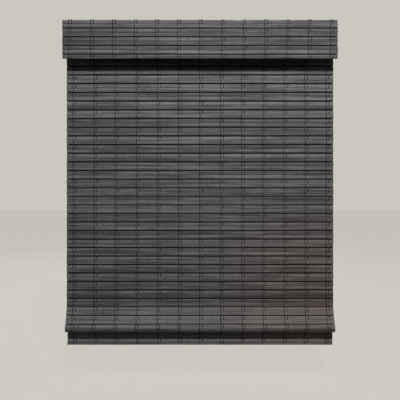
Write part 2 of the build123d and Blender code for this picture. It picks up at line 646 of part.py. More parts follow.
AXIS_OFFSET = MAT_HALF + AXIS_CLEARANCE
print(f"axes: back {PANEL_Y - AXIS_OFFSET:.3f}, front {PANEL_Y + AXIS_OFFSET:.3f}")
print(f"front end of fold {front_course[-1]}, return {return_course[0]} to {return_course[-1]}")
print(f"tail {tail_top:.2f} to {tail_bottom:.2f}, spool radius {SPOOL_RADIUS:.2f}, ring x {RING_X:.2f}")
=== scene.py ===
"""Looks of a bamboo roman shade: slats of stained bamboo woven on twine, its lift gear and its headrail.

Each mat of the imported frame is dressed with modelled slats, twine and wefts that ride on the same body.
All lengths are metres, in the frame of the part: X along the width, Y to the window, Z up.
"""

import json
import logging
import math
import random
from collections.abc import Callable, Iterable, Iterator
from contextlib import contextmanager
from dataclasses import dataclass, field
from enum import Enum

import bmesh
import bpy
from mathutils import Matrix, Vector


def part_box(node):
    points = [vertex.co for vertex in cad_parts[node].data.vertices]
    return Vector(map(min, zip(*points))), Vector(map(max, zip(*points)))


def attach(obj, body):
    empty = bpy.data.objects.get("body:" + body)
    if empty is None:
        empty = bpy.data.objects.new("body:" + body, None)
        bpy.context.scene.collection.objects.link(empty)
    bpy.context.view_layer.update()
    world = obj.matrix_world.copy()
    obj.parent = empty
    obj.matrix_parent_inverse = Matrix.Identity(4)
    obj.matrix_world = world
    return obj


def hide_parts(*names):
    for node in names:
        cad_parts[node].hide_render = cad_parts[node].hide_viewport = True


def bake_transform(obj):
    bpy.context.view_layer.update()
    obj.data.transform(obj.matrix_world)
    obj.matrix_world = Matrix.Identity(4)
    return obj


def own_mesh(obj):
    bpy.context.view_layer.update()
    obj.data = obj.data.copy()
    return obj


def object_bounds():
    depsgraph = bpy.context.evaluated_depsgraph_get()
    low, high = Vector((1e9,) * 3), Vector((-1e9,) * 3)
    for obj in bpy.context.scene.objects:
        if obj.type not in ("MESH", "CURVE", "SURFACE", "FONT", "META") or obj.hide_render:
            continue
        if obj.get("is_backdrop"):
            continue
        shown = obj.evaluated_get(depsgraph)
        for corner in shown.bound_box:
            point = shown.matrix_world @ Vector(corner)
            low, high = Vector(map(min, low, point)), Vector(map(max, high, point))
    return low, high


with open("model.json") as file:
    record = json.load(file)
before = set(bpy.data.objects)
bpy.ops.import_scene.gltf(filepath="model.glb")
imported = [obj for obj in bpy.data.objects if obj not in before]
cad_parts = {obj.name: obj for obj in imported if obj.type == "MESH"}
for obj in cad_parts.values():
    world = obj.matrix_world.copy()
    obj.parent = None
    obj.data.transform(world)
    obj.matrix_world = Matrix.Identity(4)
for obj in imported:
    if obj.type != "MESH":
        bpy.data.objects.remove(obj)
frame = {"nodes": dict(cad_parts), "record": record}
CAD_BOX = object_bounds()

MM = 0.001
MERGE_DISTANCE = 0.005 * MM
SHADE_WIDTH = 762 * MM
# How far each lift cord hangs from the middle of the shade.
CORD_ASIDE = 210.583 * MM
# The least height of a wide and of a narrow slat. A hem slat is lower than both.
WIDE_FROM = 11.25 * MM
NARROW_FROM = 9 * MM

log = logging.getLogger("shade")


class Side(Enum):
    """An end of the shade, as seen from the room."""

    LEFT = -1
    RIGHT = 1


class SlatKind(Enum):
    """The slats of the weave, told apart by their height."""

    WIDE = "wide"
    NARROW = "narrow"
    HEM = "hem"


class Face(Enum):
    """A face of the mat that a strand lies on."""

    ROOM = -1
    WINDOW = 1


class Bench:
    """Modelling moves on one piece, made with Blender's own operators."""

    @staticmethod
    def clear() -> None:
        """Deselects everything."""
        bpy.ops.object.select_all(action="DESELECT")

    @staticmethod
    def take(*pieces: bpy.types.Object) -> None:
        """Selects these pieces alone and makes the first one active.

        Args:
            pieces: The pieces to work on.
        """
        Bench.clear()
        for piece in pieces:
            piece.select_set(True)
        bpy.context.view_layer.objects.active = pieces[0]

    @staticmethod
    def settle(piece: bpy.types.Object) -> None:
        """Puts a piece's place, turn and scale into its mesh."""
        Bench.take(piece)
        bpy.ops.object.transform_apply(location=True, rotation=True, scale=True)

    @staticmethod
    def block(name: str, size: tuple[float, float, float],
              middle: tuple[float, float, float] = (0, 0, 0)) -> bpy.types.Object:
        """Adds a block.

        Args:
            name: The piece's name.
            size: Its length along X, Y and Z.
            middle: Its middle.

        Returns:
            The new piece, alone selected.
        """
        Bench.clear()
        bpy.ops.mesh.primitive_cube_add(size=1, location=middle)
        piece = bpy.context.active_object
        piece.name = piece.data.name = name
        piece.scale = size
        Bench.settle(piece)
        return piece

    @staticmethod
    def rod(name: str, radius: float, length: float, sides: int, axis: str = "X",
            middle: tuple[float, float, float] = (0, 0, 0)) -> bpy.types.Object:
        """Adds a round rod.

        Args:
            name: The piece's name.
            radius: Its radius.
            length: Its length.
            sides: How many sides it has.
            axis: The axis it lies along: X or Z.
            middle: Its middle.

        Returns:
            The new piece, alone selected.
        """
        turns = {"X": (0, math.pi / 2, 0), "Z": (0, 0, 0)}
        Bench.clear()
        bpy.ops.mesh.primitive_cylinder_add(vertices=sides, radius=radius, depth=length, location=middle,
                                            rotation=turns[axis])
        piece = bpy.context.active_object
        piece.name = piece.data.name = name
        Bench.settle(piece)
        return piece

    @staticmethod
    def ring(name: str, radius: float, tube: float, sides: tuple[int, int],
             middle: tuple[float, float, float] = (0, 0, 0),
             turn: tuple[float, float, float] = (0, 0, 0)) -> bpy.types.Object:
        """Adds a round ring.

        Args:
            name: The piece's name.
            radius: The radius of its middle line.
            tube: The radius of its section.
            sides: How many sides it has along its middle line and round its section.
            middle: Its middle.
            turn: Its turn about X, Y and Z, from lying flat.

        Returns:
            The new piece, alone selected.
        """
        Bench.clear()
        bpy.ops.mesh.primitive_torus_add(major_radius=radius, minor_radius=tube, major_segments=sides[0],
                                         minor_segments=sides[1], location=middle, rotation=turn)
        piece = bpy.context.active_object
        piece.name = piece.data.name = name
        Bench.settle(piece)
        return piece

    @staticmethod
    def tubes(name: str, lines: list[list[Vector]], radius: float, roundness: int) -> bpy.types.Object:
        """Makes round tubes along lines, as one mesh.

        Args:
            name: The piece's name.
            lines: The points of each tube's middle line.
            radius: Their radius.
            roundness: How finely they are rounded.

        Returns:
            The new piece.
        """
        curve = bpy.data.curves.new(name, "CURVE")
        curve.dimensions = "3D"
        curve.bevel_depth, curve.bevel_resolution, curve.use_fill_caps = radius, roundness, True
        for line in lines:
            spline = curve.splines.new("POLY")
            spline.points.add(len(line) - 1)
            for point, place in zip(spline.points, line):
                point.co = (*place, 1)
        piece = bpy.data.objects.new(name, curve)
        bpy.context.scene.collection.objects.link(piece)
        Bench.take(piece)
        bpy.ops.object.convert(target="MESH")
        return bpy.context.active_object

    @staticmethod
    @contextmanager
    def editing(piece: bpy.types.Object, mode: str,
                action: str = "DESELECT") -> Iterator[bmesh.types.BMesh]:
        """Opens a piece in edit mode.

        Args:
            piece: The piece to shape.
            mode: What is picked there: VERT, EDGE or FACE.
            action: DESELECT opens it with nothing selected, and SELECT with everything.

        Yields:
            The mesh being edited.
        """
        Bench.take(piece)
        bpy.ops.object.mode_set(mode="EDIT")
        bpy.ops.mesh.select_mode(type=mode)
        bpy.ops.mesh.select_all(action=action)
        yield bmesh.from_edit_mesh(piece.data)
        bpy.ops.object.mode_set(mode="OBJECT")

    @staticmethod
    def pick(parts: Iterable, test: Callable[..., bool]) -> None:
        """Selects the vertices, edges or faces that a test allows.

        Args:
            parts: The vertices, edges or faces of a mesh in edit mode.
            test: Says whether one is picked.
        """
        for part in parts:
            part.select_set(test(part))
        bpy.context.active_object.update_from_editmode()

    @staticmethod
    def reach(edge: bmesh.types.BMEdge, axis: int) -> float:
        """How far an edge runs along an axis, which is 0 for X, 1 for Y and 2 for Z."""
        return abs(edge.verts[0].co[axis] - edge.verts[1].co[axis])

    @staticmethod
    def divide(piece: bpy.types.Object, axis: int, length: float, cuts: int) -> None:
        """Cuts the long edges of a straight piece into equal lengths.

        Args:
            piece: The piece to cut.
            axis: The axis it lies along: 0 for X, 2 for Z.
            length: Its length.
            cuts: How many cuts each long edge gets.
        """
        with Bench.editing(piece, "EDGE") as mesh:
            Bench.pick(mesh.edges, lambda edge: Bench.reach(edge, axis) > length / 2)
            bpy.ops.mesh.subdivide(number_cuts=cuts)

    @staticmethod
    def finish(piece: bpy.types.Object, kind: str, **settings: object) -> None:
        """Adds a modifier and applies it.

        Args:
            piece: The piece to change.
            kind: The modifier's type.
            settings: The modifier's settings.
        """
        Bench.take(piece)
        bpy.ops.object.modifier_add(type=kind)
        modifier = piece.modifiers[-1]
        for name, value in settings.items():
            setattr(modifier, name, value)
        bpy.ops.object.modifier_apply(modifier=modifier.name)

    @staticmethod
    def copy(piece: bpy.types.Object, placing: Matrix) -> bpy.types.Object:
        """Copies a piece with its mesh.

        Args:
            piece: The piece modelled once.
            placing: Where its copy goes.

        Returns:
            The copy, with its place in its own mesh.
        """
        twin = piece.copy()
        twin.data = piece.data.copy()
        bpy.context.scene.collection.objects.link(twin)
        twin.data.transform(placing)
        return twin

    @staticmethod
    def join(name: str, pieces: list[bpy.types.Object]) -> bpy.types.Object:
        """Joins pieces into one.

        Args:
            name: The joined piece's name.
            pieces: The pieces to join.

        Returns:
            The joined piece.
        """
        Bench.take(*pieces)
        if len(pieces) > 1:
            bpy.ops.object.join()
        piece = bpy.context.active_object
        piece.name = piece.data.name = name
        return piece

    @staticmethod
    def smooth(piece: bpy.types.Object, degrees: float = 35) -> None:
        """Shades a piece smooth up to an angle between faces."""
        Bench.take(piece)
        bpy.ops.object.shade_smooth_by_angle(angle=math.radians(degrees))

    @staticmethod
    def discard(*pieces: bpy.types.Object) -> None:
        """Removes helper pieces and their meshes.

        Args:
            pieces: The pieces that are no longer needed.
        """
        for piece in pieces:
            data = piece.data
            bpy.data.objects.remove(piece)
            if isinstance(data, bpy.types.Mesh):
                bpy.data.meshes.remove(data)


def at_both_cords(name: str, one: bpy.types.Object, y: float, z: float) -> bpy.types.Object:
    """Sets a piece at the places of both lift cords.

    Args:
        name: The name of the pair.
        one: The piece modelled once, which is used up.
        y: How far behind the origin the pair goes.
        z: Its height.

    Returns:
        The pair as one piece.
    """
    pair = [Bench.copy(one, Matrix.Translation((side.value * CORD_ASIDE, y, z))) for side in Side]
    Bench.discard(one)
    return Bench.join(name, pair)


def hand_over(piece: bpy.types.Object, finish: bpy.types.Material, body: str, slot: str,
              node: str | None = None) -> bpy.types.Object:
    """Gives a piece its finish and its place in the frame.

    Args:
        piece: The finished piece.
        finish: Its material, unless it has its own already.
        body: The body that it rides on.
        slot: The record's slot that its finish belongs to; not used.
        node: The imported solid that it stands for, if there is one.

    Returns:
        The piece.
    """
    if not piece.data.materials:
        piece.data.materials.append(finish)
    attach(piece, body)
    if node:
        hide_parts(node)
    return piece


class Value:
    """A shader socket that Python's operators work on."""

    def __init__(self, nodes: "Nodes", socket: bpy.types.NodeSocket) -> None:
        """Wraps a socket of a node tree."""
        self.nodes = nodes
        self.socket = socket

    def _maths(self, operation: str, *terms: "Value | float") -> "Value":
        """One Math node on values and numbers."""
        return self.nodes.node("ShaderNodeMath", {"operation": operation}, dict(enumerate(terms)))

    def __add__(self, other: "Value | float") -> "Value":
        """Sum."""
        return self._maths("ADD", self, other)

    def __sub__(self, other: "Value | float") -> "Value":
        """Difference."""
        return self._maths("SUBTRACT", self, other)

    def __mul__(self, other: "Value | float") -> "Value":
        """Product."""
        return self._maths("MULTIPLY", self, other)

    def __radd__(self, other: float) -> "Value":
        """Sum with a number on the left."""
        return self._maths("ADD", other, self)

    def __rsub__(self, other: float) -> "Value":
        """Difference with a number on the left."""
        return self._maths("SUBTRACT", other, self)

    def __rmul__(self, other: float) -> "Value":
        """Product with a number on the left."""
        return self._maths("MULTIPLY", other, self)

    def sine(self) -> "Value":
        """Sine of the value, in radians."""
        return self._maths("SINE", self)

    def between(self, low: float, high: float) -> "Value":
        """The value's smooth rise from 0 at low to 1 at high."""
        return self.nodes.node("ShaderNodeMapRange", {"interpolation_type": "SMOOTHSTEP"},
                               {0: self, 1: low, 2: high, 3: 0.0, 4: 1.0})


class Nodes:
    """The nodes of a material or of the sky."""

    def __init__(self, tree: bpy.types.NodeTree) -> None:
        """Works on a node tree."""
        self.tree = tree

    def node(self, kind: str, settings: dict[str, object], sockets: dict[int | str, object],
             output: int | str = 0) -> Value:
        """Makes a node.

        Args:
            kind: The node's type.
            settings: Its settings, set first; "stops" are a colour ramp's positions and colours.
            sockets: The values or links of its inputs.
            output: The output that is wanted.

        Returns:
            That output as a value.
        """
        made = self.tree.nodes.new(kind)
        for name, setting in settings.items():
            if name == "stops":
                self._ramp(made.color_ramp, setting)
            else:
                setattr(made, name, setting)
        for key, given in sockets.items():
            if isinstance(given, Value):
                self.tree.links.new(given.socket, made.inputs[key])
            else:
                made.inputs[key].default_value = given
        return Value(self, made.outputs[output])

    @staticmethod
    def _ramp(ramp: bpy.types.ColorRamp, stops: list[tuple[float, tuple[float, float, float]]]) -> None:
        """Sets a colour ramp's stops.

        Args:
            ramp: The ramp to set.
            stops: The position and the colour of each stop.
        """
        while len(ramp.elements) < len(stops):
            ramp.elements.new(0.5)
        for element, (position, colour) in zip(ramp.elements, stops):
            element.position = position
            element.color = (*colour, 1)

    def seen(self) -> Value:
        """Tells what the camera sees from what only lights the shade.

        Returns:
            1 for a ray from the camera, directly, in a reflection or through glass, and 0 for all others.
        """
        rays = [self.node("ShaderNodeLightPath", {}, {}, f"Is {kind} Ray")
                for kind in ("Camera", "Glossy", "Transmission")]
        return rays[0] + rays[1] + rays[2]


@dataclass(frozen=True)
class Grain:
    """One noise in a finish.

    Attributes:
        cells: Its cells a metre along X, Y and Z.
        detail: How many finer layers it has.
        rough: How strong the finer layers are.
        share: How much it counts for where it is mixed in.
        pattern: A number that picks one of its patterns.
    """

    cells: tuple[float, float, float]
    detail: float = 2.0
    rough: float = 0.5
    share: float = 1.0
    pattern: float = 0.0


class Shader(Nodes):
    """The nodes of one material, around a Principled shader."""

    def __init__(self, name: str) -> None:
        """Starts a material with nothing but its shader and output.

        Args:
            name: The material's name.
        """
        self.material = bpy.data.materials.new(name)
        self.material.use_nodes = True
        super().__init__(self.material.node_tree)
        self.surface = self.tree.nodes["Principled BSDF"]
        self.place = self.node("ShaderNodeTexCoord", {}, {}, "Object")

    def axis(self, name: str) -> Value:
        """One coordinate of the surface's place: X, Y or Z."""
        return self.node("ShaderNodeSeparateXYZ", {}, {0: self.place}, name)

    def mark(self, name: str) -> Value:
        """A number that the mesh carries under a name."""
        return self.node("ShaderNodeAttribute", {"attribute_name": name}, {}, "Fac")

    def noise(self, grain: Grain, shift: "Value | float" = 0.0) -> Value:
        """Makes one noise of a finish.

        Args:
            grain: Its cells, its layers and its pattern.
            shift: A number that is added to its pattern.

        Returns:
            The noise, about 0.5 in the middle.
        """
        cells = self.node("ShaderNodeMapping", {}, {"Vector": self.place, "Scale": grain.cells})
        return self.node("ShaderNodeTexNoise", {"noise_dimensions": "4D"},
                         {"Vector": cells, "W": shift + grain.pattern, "Scale": 1.0, "Detail": grain.detail,
                          "Roughness": grain.rough}, "Fac")

    def mix(self, share: "Value | float", first: object, second: object, blend: str = "MIX") -> Value:
        """Mixes two colours.

        Args:
            share: How much of the second is used.
            first: The first colour.
            second: The second colour.
            blend: How they are mixed.

        Returns:
            The mixed colour.
        """
        wanted = [c if isinstance(c, Value) else (*c, 1) for c in (first, second)]
        return self.node("ShaderNodeMix", {"data_type": "RGBA", "blend_type": blend},
                         {0: share, 6: wanted[0], 7: wanted[1]}, 2)

    def ramp(self, share: Value, *stops: tuple[float, tuple[float, float, float]]) -> Value:
        """A colour for each height of a value."""
        return self.node("ShaderNodeValToRGB", {"stops": list(stops)}, {0: share})

    def dress(self, **sockets: object) -> bpy.types.Material:
        """Sets the Principled shader's sockets.

        Args:
            sockets: Values, numbers or colours by socket name, with _ for a space.

        Returns:
            The material.
        """
        for name, given in sockets.items():
            socket = self.surface.inputs[name.replace("_", " ")]
            if isinstance(given, Value):
                self.tree.links.new(given.socket, socket)
            else:
                socket.default_value = (*given, 1) if isinstance(given, tuple) else given
        return self.material

    def relief(self, height: Value, depth: float) -> Value:
        """A normal from a height.

        Args:
            height: The height, from 0 to 1.
            depth: How far 1 stands above 0, in metres.

        Returns:
            The normal.
        """
        return self.node("ShaderNodeBump", {}, {"Strength": 1.0, "Distance": depth, "Height": height},
                         "Normal")


@dataclass(frozen=True)
class BambooStain:
    """Charcoal stain on split bamboo, thin enough to show grain, joints and worn edges, with painted shade
    and highlights at the gaps.

    A band is where an effect starts and where it is full: up a slat as a share of its height, in a noise,
    or in metres for the corner of the shade that gets a painted warm reflection. A share is how strong the
    effect is.
    """

    name: str = "charcoal_stained_bamboo"
    deep: tuple[float, float, float] = (0.048, 0.047, 0.046)
    body: tuple[float, float, float] = (0.099, 0.099, 0.099)
    light: tuple[float, float, float] = (0.174, 0.174, 0.173)
    # The joint colour also paints the shade towards each pair's joint and beside the wide gaps.
    joint: tuple[float, float, float] = (0.021, 0.020, 0.019)
    warm: tuple[float, float, float] = (1.20, 0.96, 0.92)
    streaks: Grain = Grain((6.5, 300, 340), 3.0, 0.62, share=0.62)
    clouds: Grain = Grain((9, 40, 90), share=0.26, pattern=11.0)
    fibres: Grain = Grain((60, 900, 2600), rough=0.6, share=0.12, pattern=23.0)
    smudges: Grain = Grain((42, 60, 190), 1.0, share=0.75, pattern=5.0)
    tints: Grain = Grain((7, 20, 30), 1.0, share=0.22, pattern=3.0)
    slat_patterns: float = 37.0
    tone_share: float = 0.10
    levels: tuple[float, float, float] = (0.40, 0.50, 0.60)
    # Worn edges and a painted highlight: a lighter band just short of the edge beside the wide gap.
    worn_and_highlight_band: tuple[float, float] = (0.24, 0.38)
    worn_and_highlight_share: float = 0.30
    # Painted shade: each slat darkens towards the joint of its pair.
    seam_shade_band: tuple[float, float] = (0.10, 0.52)
    seam_shade_share: float = 0.16
    # Painted shade: a dark rim at the edge beside the wide gap, where shade falls.
    gap_shade_band: tuple[float, float] = (0.405, 0.455)
    gap_shade_share: float = 0.98
    smudge_band: tuple[float, float] = (0.70, 0.80)
    joint_share: float = 0.4
    tint_band: tuple[float, float] = (0.45, 0.75)
    # Painted warm reflection, strongest at the lower right of the shade.
    warm_reflection_x: tuple[float, float] = (-0.05, 0.30)
    warm_reflection_z: tuple[float, float] = (-0.42, -0.72)
    warm_reflection_share: float = 0.75
    relief: float = 0.22 * MM
    roughness: float = 0.62
    roughness_spread: float = 0.25
    specular: float = 0.15

    def material(self) -> bpy.types.Material:
        """Makes the material.

        Returns:
            The material; it reads the slats' own marks for tone, height and joints.
        """
        shader = Shader(self.name)
        tone, across, joint = shader.mark("tone"), shader.mark("across"), shader.mark("joint")
        shift = tone * self.slat_patterns
        streaks, clouds, fibres, smudges, tints = (
            shader.noise(grain, shift)
            for grain in (self.streaks, self.clouds, self.fibres, self.smudges, self.tints))
        level = (streaks * self.streaks.share + clouds * self.clouds.share + fibres * self.fibres.share
                 + (tone - 0.5) * self.tone_share)
        colour = shader.ramp(level, *zip(self.levels, (self.deep, self.body, self.light)))
        # Lighter band beside the wide gap: worn edges and a painted highlight.
        colour = shader.mix(across.between(*self.worn_and_highlight_band) * self.worn_and_highlight_share, colour, self.light)
        # Painted shade, in the joint colour: towards the pair's joint, and as a dark rim beside the wide
        # gap.
        seam_shade = (0.0 - across).between(*self.seam_shade_band) * self.seam_shade_share
        rim = across.between(*self.gap_shade_band) * self.gap_shade_share
        colour = shader.mix(seam_shade + rim, colour, self.joint)
        colour = shader.mix(smudges.between(*self.smudge_band) * self.smudges.share, colour, self.joint)
        colour = shader.mix(joint * self.joint_share, colour, self.joint)
        # Painted warm reflection at the lower right, on top of the random warm stain.
        corner = shader.axis("X").between(*self.warm_reflection_x) * shader.axis("Z").between(*self.warm_reflection_z)
        tint = tints.between(*self.tint_band) * self.tints.share + corner * self.warm_reflection_share
        colour = shader.mix(tint, colour, shader.mix(1.0, colour, self.warm, "MULTIPLY"))
        return shader.dress(Base_Color=colour, Specular_IOR_Level=self.specular,
                            Roughness=self.roughness + (streaks - 0.5) * self.roughness_spread,
                            Normal=shader.relief(streaks * 0.6 + fibres * 0.4, self.relief))


@dataclass(frozen=True)
class Yarn:
    """Spun yarn or braided cord: plies that run round it, and loose fibres."""

    name: str
    colour: tuple[float, float, float]
    plies_per_metre: float
    lean: tuple[float, float, float]
    relief: float
    fuzz: Grain = Grain((1800, 1800, 1800), rough=0.6, share=0.35)
    patches: Grain = Grain((30, 30, 30), 1.0, share=0.2)
    ply_share: float = 0.45
    levels: tuple[float, float, float] = (0.2, 0.5, 0.85)
    shades: tuple[float, float, float] = (0.45, 1.0, 1.5)
    roughness: float = 0.85
    specular: float = 0.1

    def material(self) -> bpy.types.Material:
        """Makes the material.

        Returns:
            The material, whose plies lean across the yarn's own direction.
        """
        shader = Shader(self.name)
        x, y, z = self.lean
        wave = (shader.axis("X") * x + shader.axis("Y") * y + shader.axis("Z") * z) * self.plies_per_metre
        plies = (wave * (2 * math.pi)).sine() * 0.5 + 0.5
        fuzz, patches = shader.noise(self.fuzz), shader.noise(self.patches)
        level = plies * self.ply_share + fuzz * self.fuzz.share + patches * self.patches.share
        colours = [tuple(shade * c for c in self.colour) for shade in self.shades]
        return shader.dress(Base_Color=shader.ramp(level, *zip(self.levels, colours)),
                            Roughness=self.roughness, Specular_IOR_Level=self.specular,
                            Normal=shader.relief(plies * 0.7 + fuzz * 0.3, self.relief))


@dataclass(frozen=True)
class StainedLath:
    """Solid softwood under the same stain: long grain and fine pores."""

    name: str = "stained_lath_wood"
    deep: tuple[float, float, float] = (0.035, 0.032, 0.029)
    light: tuple[float, float, float] = (0.100, 0.092, 0.084)
    rings_up: float = 900
    rings_back: float = 500
    ring_sway: float = 26
    sway: Grain = Grain((5, 60, 60))
    pores: Grain = Grain((70, 1500, 1500), rough=0.6)
    relief: float = 0.12 * MM
    roughness: float = 0.58
    roughness_spread: float = 0.2

    def material(self) -> bpy.types.Material:
        """Makes the material.

        Returns:
            The material.
        """
        shader = Shader(self.name)
        sway, pores = shader.noise(self.sway), shader.noise(self.pores)
        wave = shader.axis("Z") * self.rings_up + shader.axis("Y") * self.rings_back + sway * self.ring_sway
        rings = wave.sine() * 0.5 + 0.5
        return shader.dress(Base_Color=shader.mix(rings * 0.6 + pores * 0.4, self.deep, self.light),
                            Roughness=self.roughness + (pores - 0.5) * self.roughness_spread,
                            Normal=shader.relief(rings * 0.4 + pores * 0.6, self.relief))


@dataclass(frozen=True)
class Metal:
    """Rolled or plated metal with a drawn grain along one axis and faint stains."""

    name: str
    colour: tuple[float, float, float]
    drawn: Grain
    roughness: float
    stains: Grain = Grain((38, 38, 38), 3.0, 0.55, share=0.22)
    dull: float = 0.78
    relief: float = 0.03 * MM
    metallic: float = 1.0

    def material(self) -> bpy.types.Material:
        """Makes the material.

        Returns:
            The material.
        """
        shader = Shader(self.name)
        drawn, stains = shader.noise(self.drawn), shader.noise(self.stains)
        dull = tuple(self.dull * c for c in self.colour)
        spread = (drawn - 0.5) * self.drawn.share + (stains - 0.5) * self.stains.share
        return shader.dress(Base_Color=shader.mix(drawn * 0.5 + stains * 0.5, dull, self.colour),
                            Metallic=self.metallic, Roughness=self.roughness + spread,
                            Normal=shader.relief(drawn, self.relief))


@dataclass(frozen=True)
class Coating:
    """Paint or moulded plastic: an even colour with a fine texture and dust in the open."""

    name: str
    colour: tuple[float, float, float]
    cells_per_metre: float
    relief: float
    roughness: float
    dust: Grain = Grain((24, 24, 24), 3.0, 0.6, share=0.6)
    dust_band: tuple[float, float] = (0.5, 0.85)
    dust_paler: float = 0.035

    def material(self) -> bpy.types.Material:
        """Makes the material.

        Returns:
            The material.
        """
        shader = Shader(self.name)
        grain = shader.noise(Grain((self.cells_per_metre,) * 3))
        dust = shader.noise(self.dust).between(*self.dust_band)
        dusty = tuple(c + self.dust_paler for c in self.colour)
        return shader.dress(Base_Color=shader.mix(dust * self.dust.share, self.colour, dusty),
                            Roughness=self.roughness + dust * 0.12 + (grain - 0.5) * 0.1,
                            Normal=shader.relief(grain, self.relief))


@dataclass(frozen=True)
class Finishes:
    """The materials of the shade, each made once."""

    bamboo: bpy.types.Material
    twine: bpy.types.Material
    weft: bpy.types.Material
    cord: bpy.types.Material
    lath: bpy.types.Material
    paint: bpy.types.Material
    zinc: bpy.types.Material
    spring: bpy.types.Material
    plastic: bpy.types.Material

    @classmethod
    def make(cls) -> "Finishes":
        """Makes every material.

        Returns:
            The materials.
        """
        zinc_grain = Grain((40, 900, 900), 3.0, 0.65, share=0.18)
        spring_grain = Grain((900, 60, 900), 3.0, 0.65, share=0.18)
        makers = {
            "bamboo": BambooStain(),
            "twine": Yarn("twisted_twine", (0.011, 0.0107, 0.0104), 420, (1.0, 0.4, 0.9), 0.25 * MM),
            # Painted shade: the weft yarn is coloured near black to stand for the shade in the wide gaps.
            "weft": Yarn("weft_yarn_painted_shade", (0.009, 0.0085, 0.008), 380, (0.8, 0.5, 1.2), 0.25 * MM),
            "cord": Yarn("braided_cord", (0.055, 0.052, 0.050), 520, (1.0, 1.0, 1.0), 0.15 * MM),
            "lath": StainedLath(),
            "paint": Coating("satin_rail_paint", (0.115, 0.112, 0.108), 900, 0.03 * MM, 0.42),
            "zinc": Metal("zinc_plated_steel", (0.60, 0.60, 0.61), zinc_grain, 0.40),
            "spring": Metal("blued_spring_steel", (0.33, 0.36, 0.40), spring_grain, 0.32),
            "plastic": Coating("moulded_plastic", (0.088, 0.086, 0.083), 2600, 0.04 * MM, 0.52),
        }
        return cls(**{name: maker.material() for name, maker in makers.items()})


@dataclass(frozen=True)
class SlatPlace:
    """Where one slat lies in a mat."""

    middle: Vector
    tilt: float
    height: float

    @property
    def placing(self) -> Matrix:
        """The slat's own axes: X along it, Z up it and -Y out of its face to the room."""
        return Matrix.Translation(self.middle) @ Matrix.Rotation(self.tilt, 4, "X")

    @property
    def kind(self) -> SlatKind:
        """Tells the slat's kind from its height.

        Returns:
            The kind.
        """
        if self.height > WIDE_FROM:
            return SlatKind.WIDE
        return SlatKind.NARROW if self.height > NARROW_FROM else SlatKind.HEM

    def at(self, x: float, y: float, z: float) -> Vector:
        """A point given in the slat's own axes."""
        return self.placing @ Vector((x, y, z))


class PackedWeave:
    """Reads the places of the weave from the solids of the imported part."""

    @staticmethod
    def solids(node: str) -> list[list[Vector]]:
        """The corner points of each separate solid in a node.

        Args:
            node: The node's name.

        Returns:
            One list of points for each solid.
        """
        mesh = bmesh.new()
        mesh.from_mesh(frame["nodes"][node].data)
        bmesh.ops.remove_doubles(mesh, verts=mesh.verts, dist=MERGE_DISTANCE)
        left, found = set(mesh.verts), []
        for corner in mesh.verts:
            if corner not in left:
                continue
            left.remove(corner)
            reached = [corner]
            # The list grows while it is walked, until it holds every corner of the solid.
            for vertex in reached:
                near = [edge.other_vert(vertex) for edge in vertex.link_edges]
                near = [other for other in near if other in left]
                left -= set(near)
                reached += near
            found.append([vertex.co.copy() for vertex in reached])
        mesh.free()
        return found

    @staticmethod
    def section(points: list[Vector]) -> SlatPlace:
        """The place of a slat from its corner points.

        Args:
            points: The corners of a straight slat along X.

        Returns:
            Its place, with its long side as its height.
        """
        count = len(points)
        y0, z0 = sum(p.y for p in points) / count, sum(p.z for p in points) / count
        yy = sum((p.y - y0) ** 2 for p in points)
        zz = sum((p.z - z0) ** 2 for p in points)
        yz = sum((p.y - y0) * (p.z - z0) for p in points)
        tilt = 0.5 * math.atan2(-2 * yz, zz - yy)
        up = Vector((0, -math.sin(tilt), math.cos(tilt)))
        out = Vector((0, math.cos(tilt), math.sin(tilt)))
        heights, depths = [p.dot(up) for p in points], [p.dot(out) for p in points]
        middle = up * (max(heights) + min(heights)) / 2 + out * (max(depths) + min(depths)) / 2
        return SlatPlace(middle, tilt, max(heights) - min(heights))

    @staticmethod
    def runs(places: list[SlatPlace], reach: float) -> list[list[SlatPlace]]:
        """Slats in the order that the twine meets them.

        Args:
            places: The slats of a mat, in any order.
            reach: The widest gap that still joins two slats.

        Returns:
            One run for a plain mat, and one more for each layer of a mat that doubles back.
        """
        left = sorted(places, key=lambda place: place.middle.z, reverse=True)
        found = []
        while left:
            run = [left.pop(0)]
            while left:
                foot = run[-1].at(0, 0, -run[-1].height / 2)
                gaps = [(place.at(0, 0, place.height / 2) - foot).length for place in left]
                nearest = gaps.index(min(gaps))
                if gaps[nearest] > reach:
                    break
                run.append(left.pop(nearest))
            found.append(run)
        return found


@dataclass(frozen=True)
class MatLook:
    """How one mat differs from the others.

    Attributes:
        painted_light: How much lighter its slats are painted, standing for the light that falls on this
            mat; the tones of a mat spread over 1.
        trim: How much of a slat's height is left open beside a wide gap.
        line: How far the dark rim of painted shade reaches down a slat, where 1 is usual.
        top_lead: How far above its first slat the strands start.
    """

    painted_light: float = 0.0
    trim: float = 0.68 * MM
    line: float = 1.0
    top_lead: float = 0.8 * MM


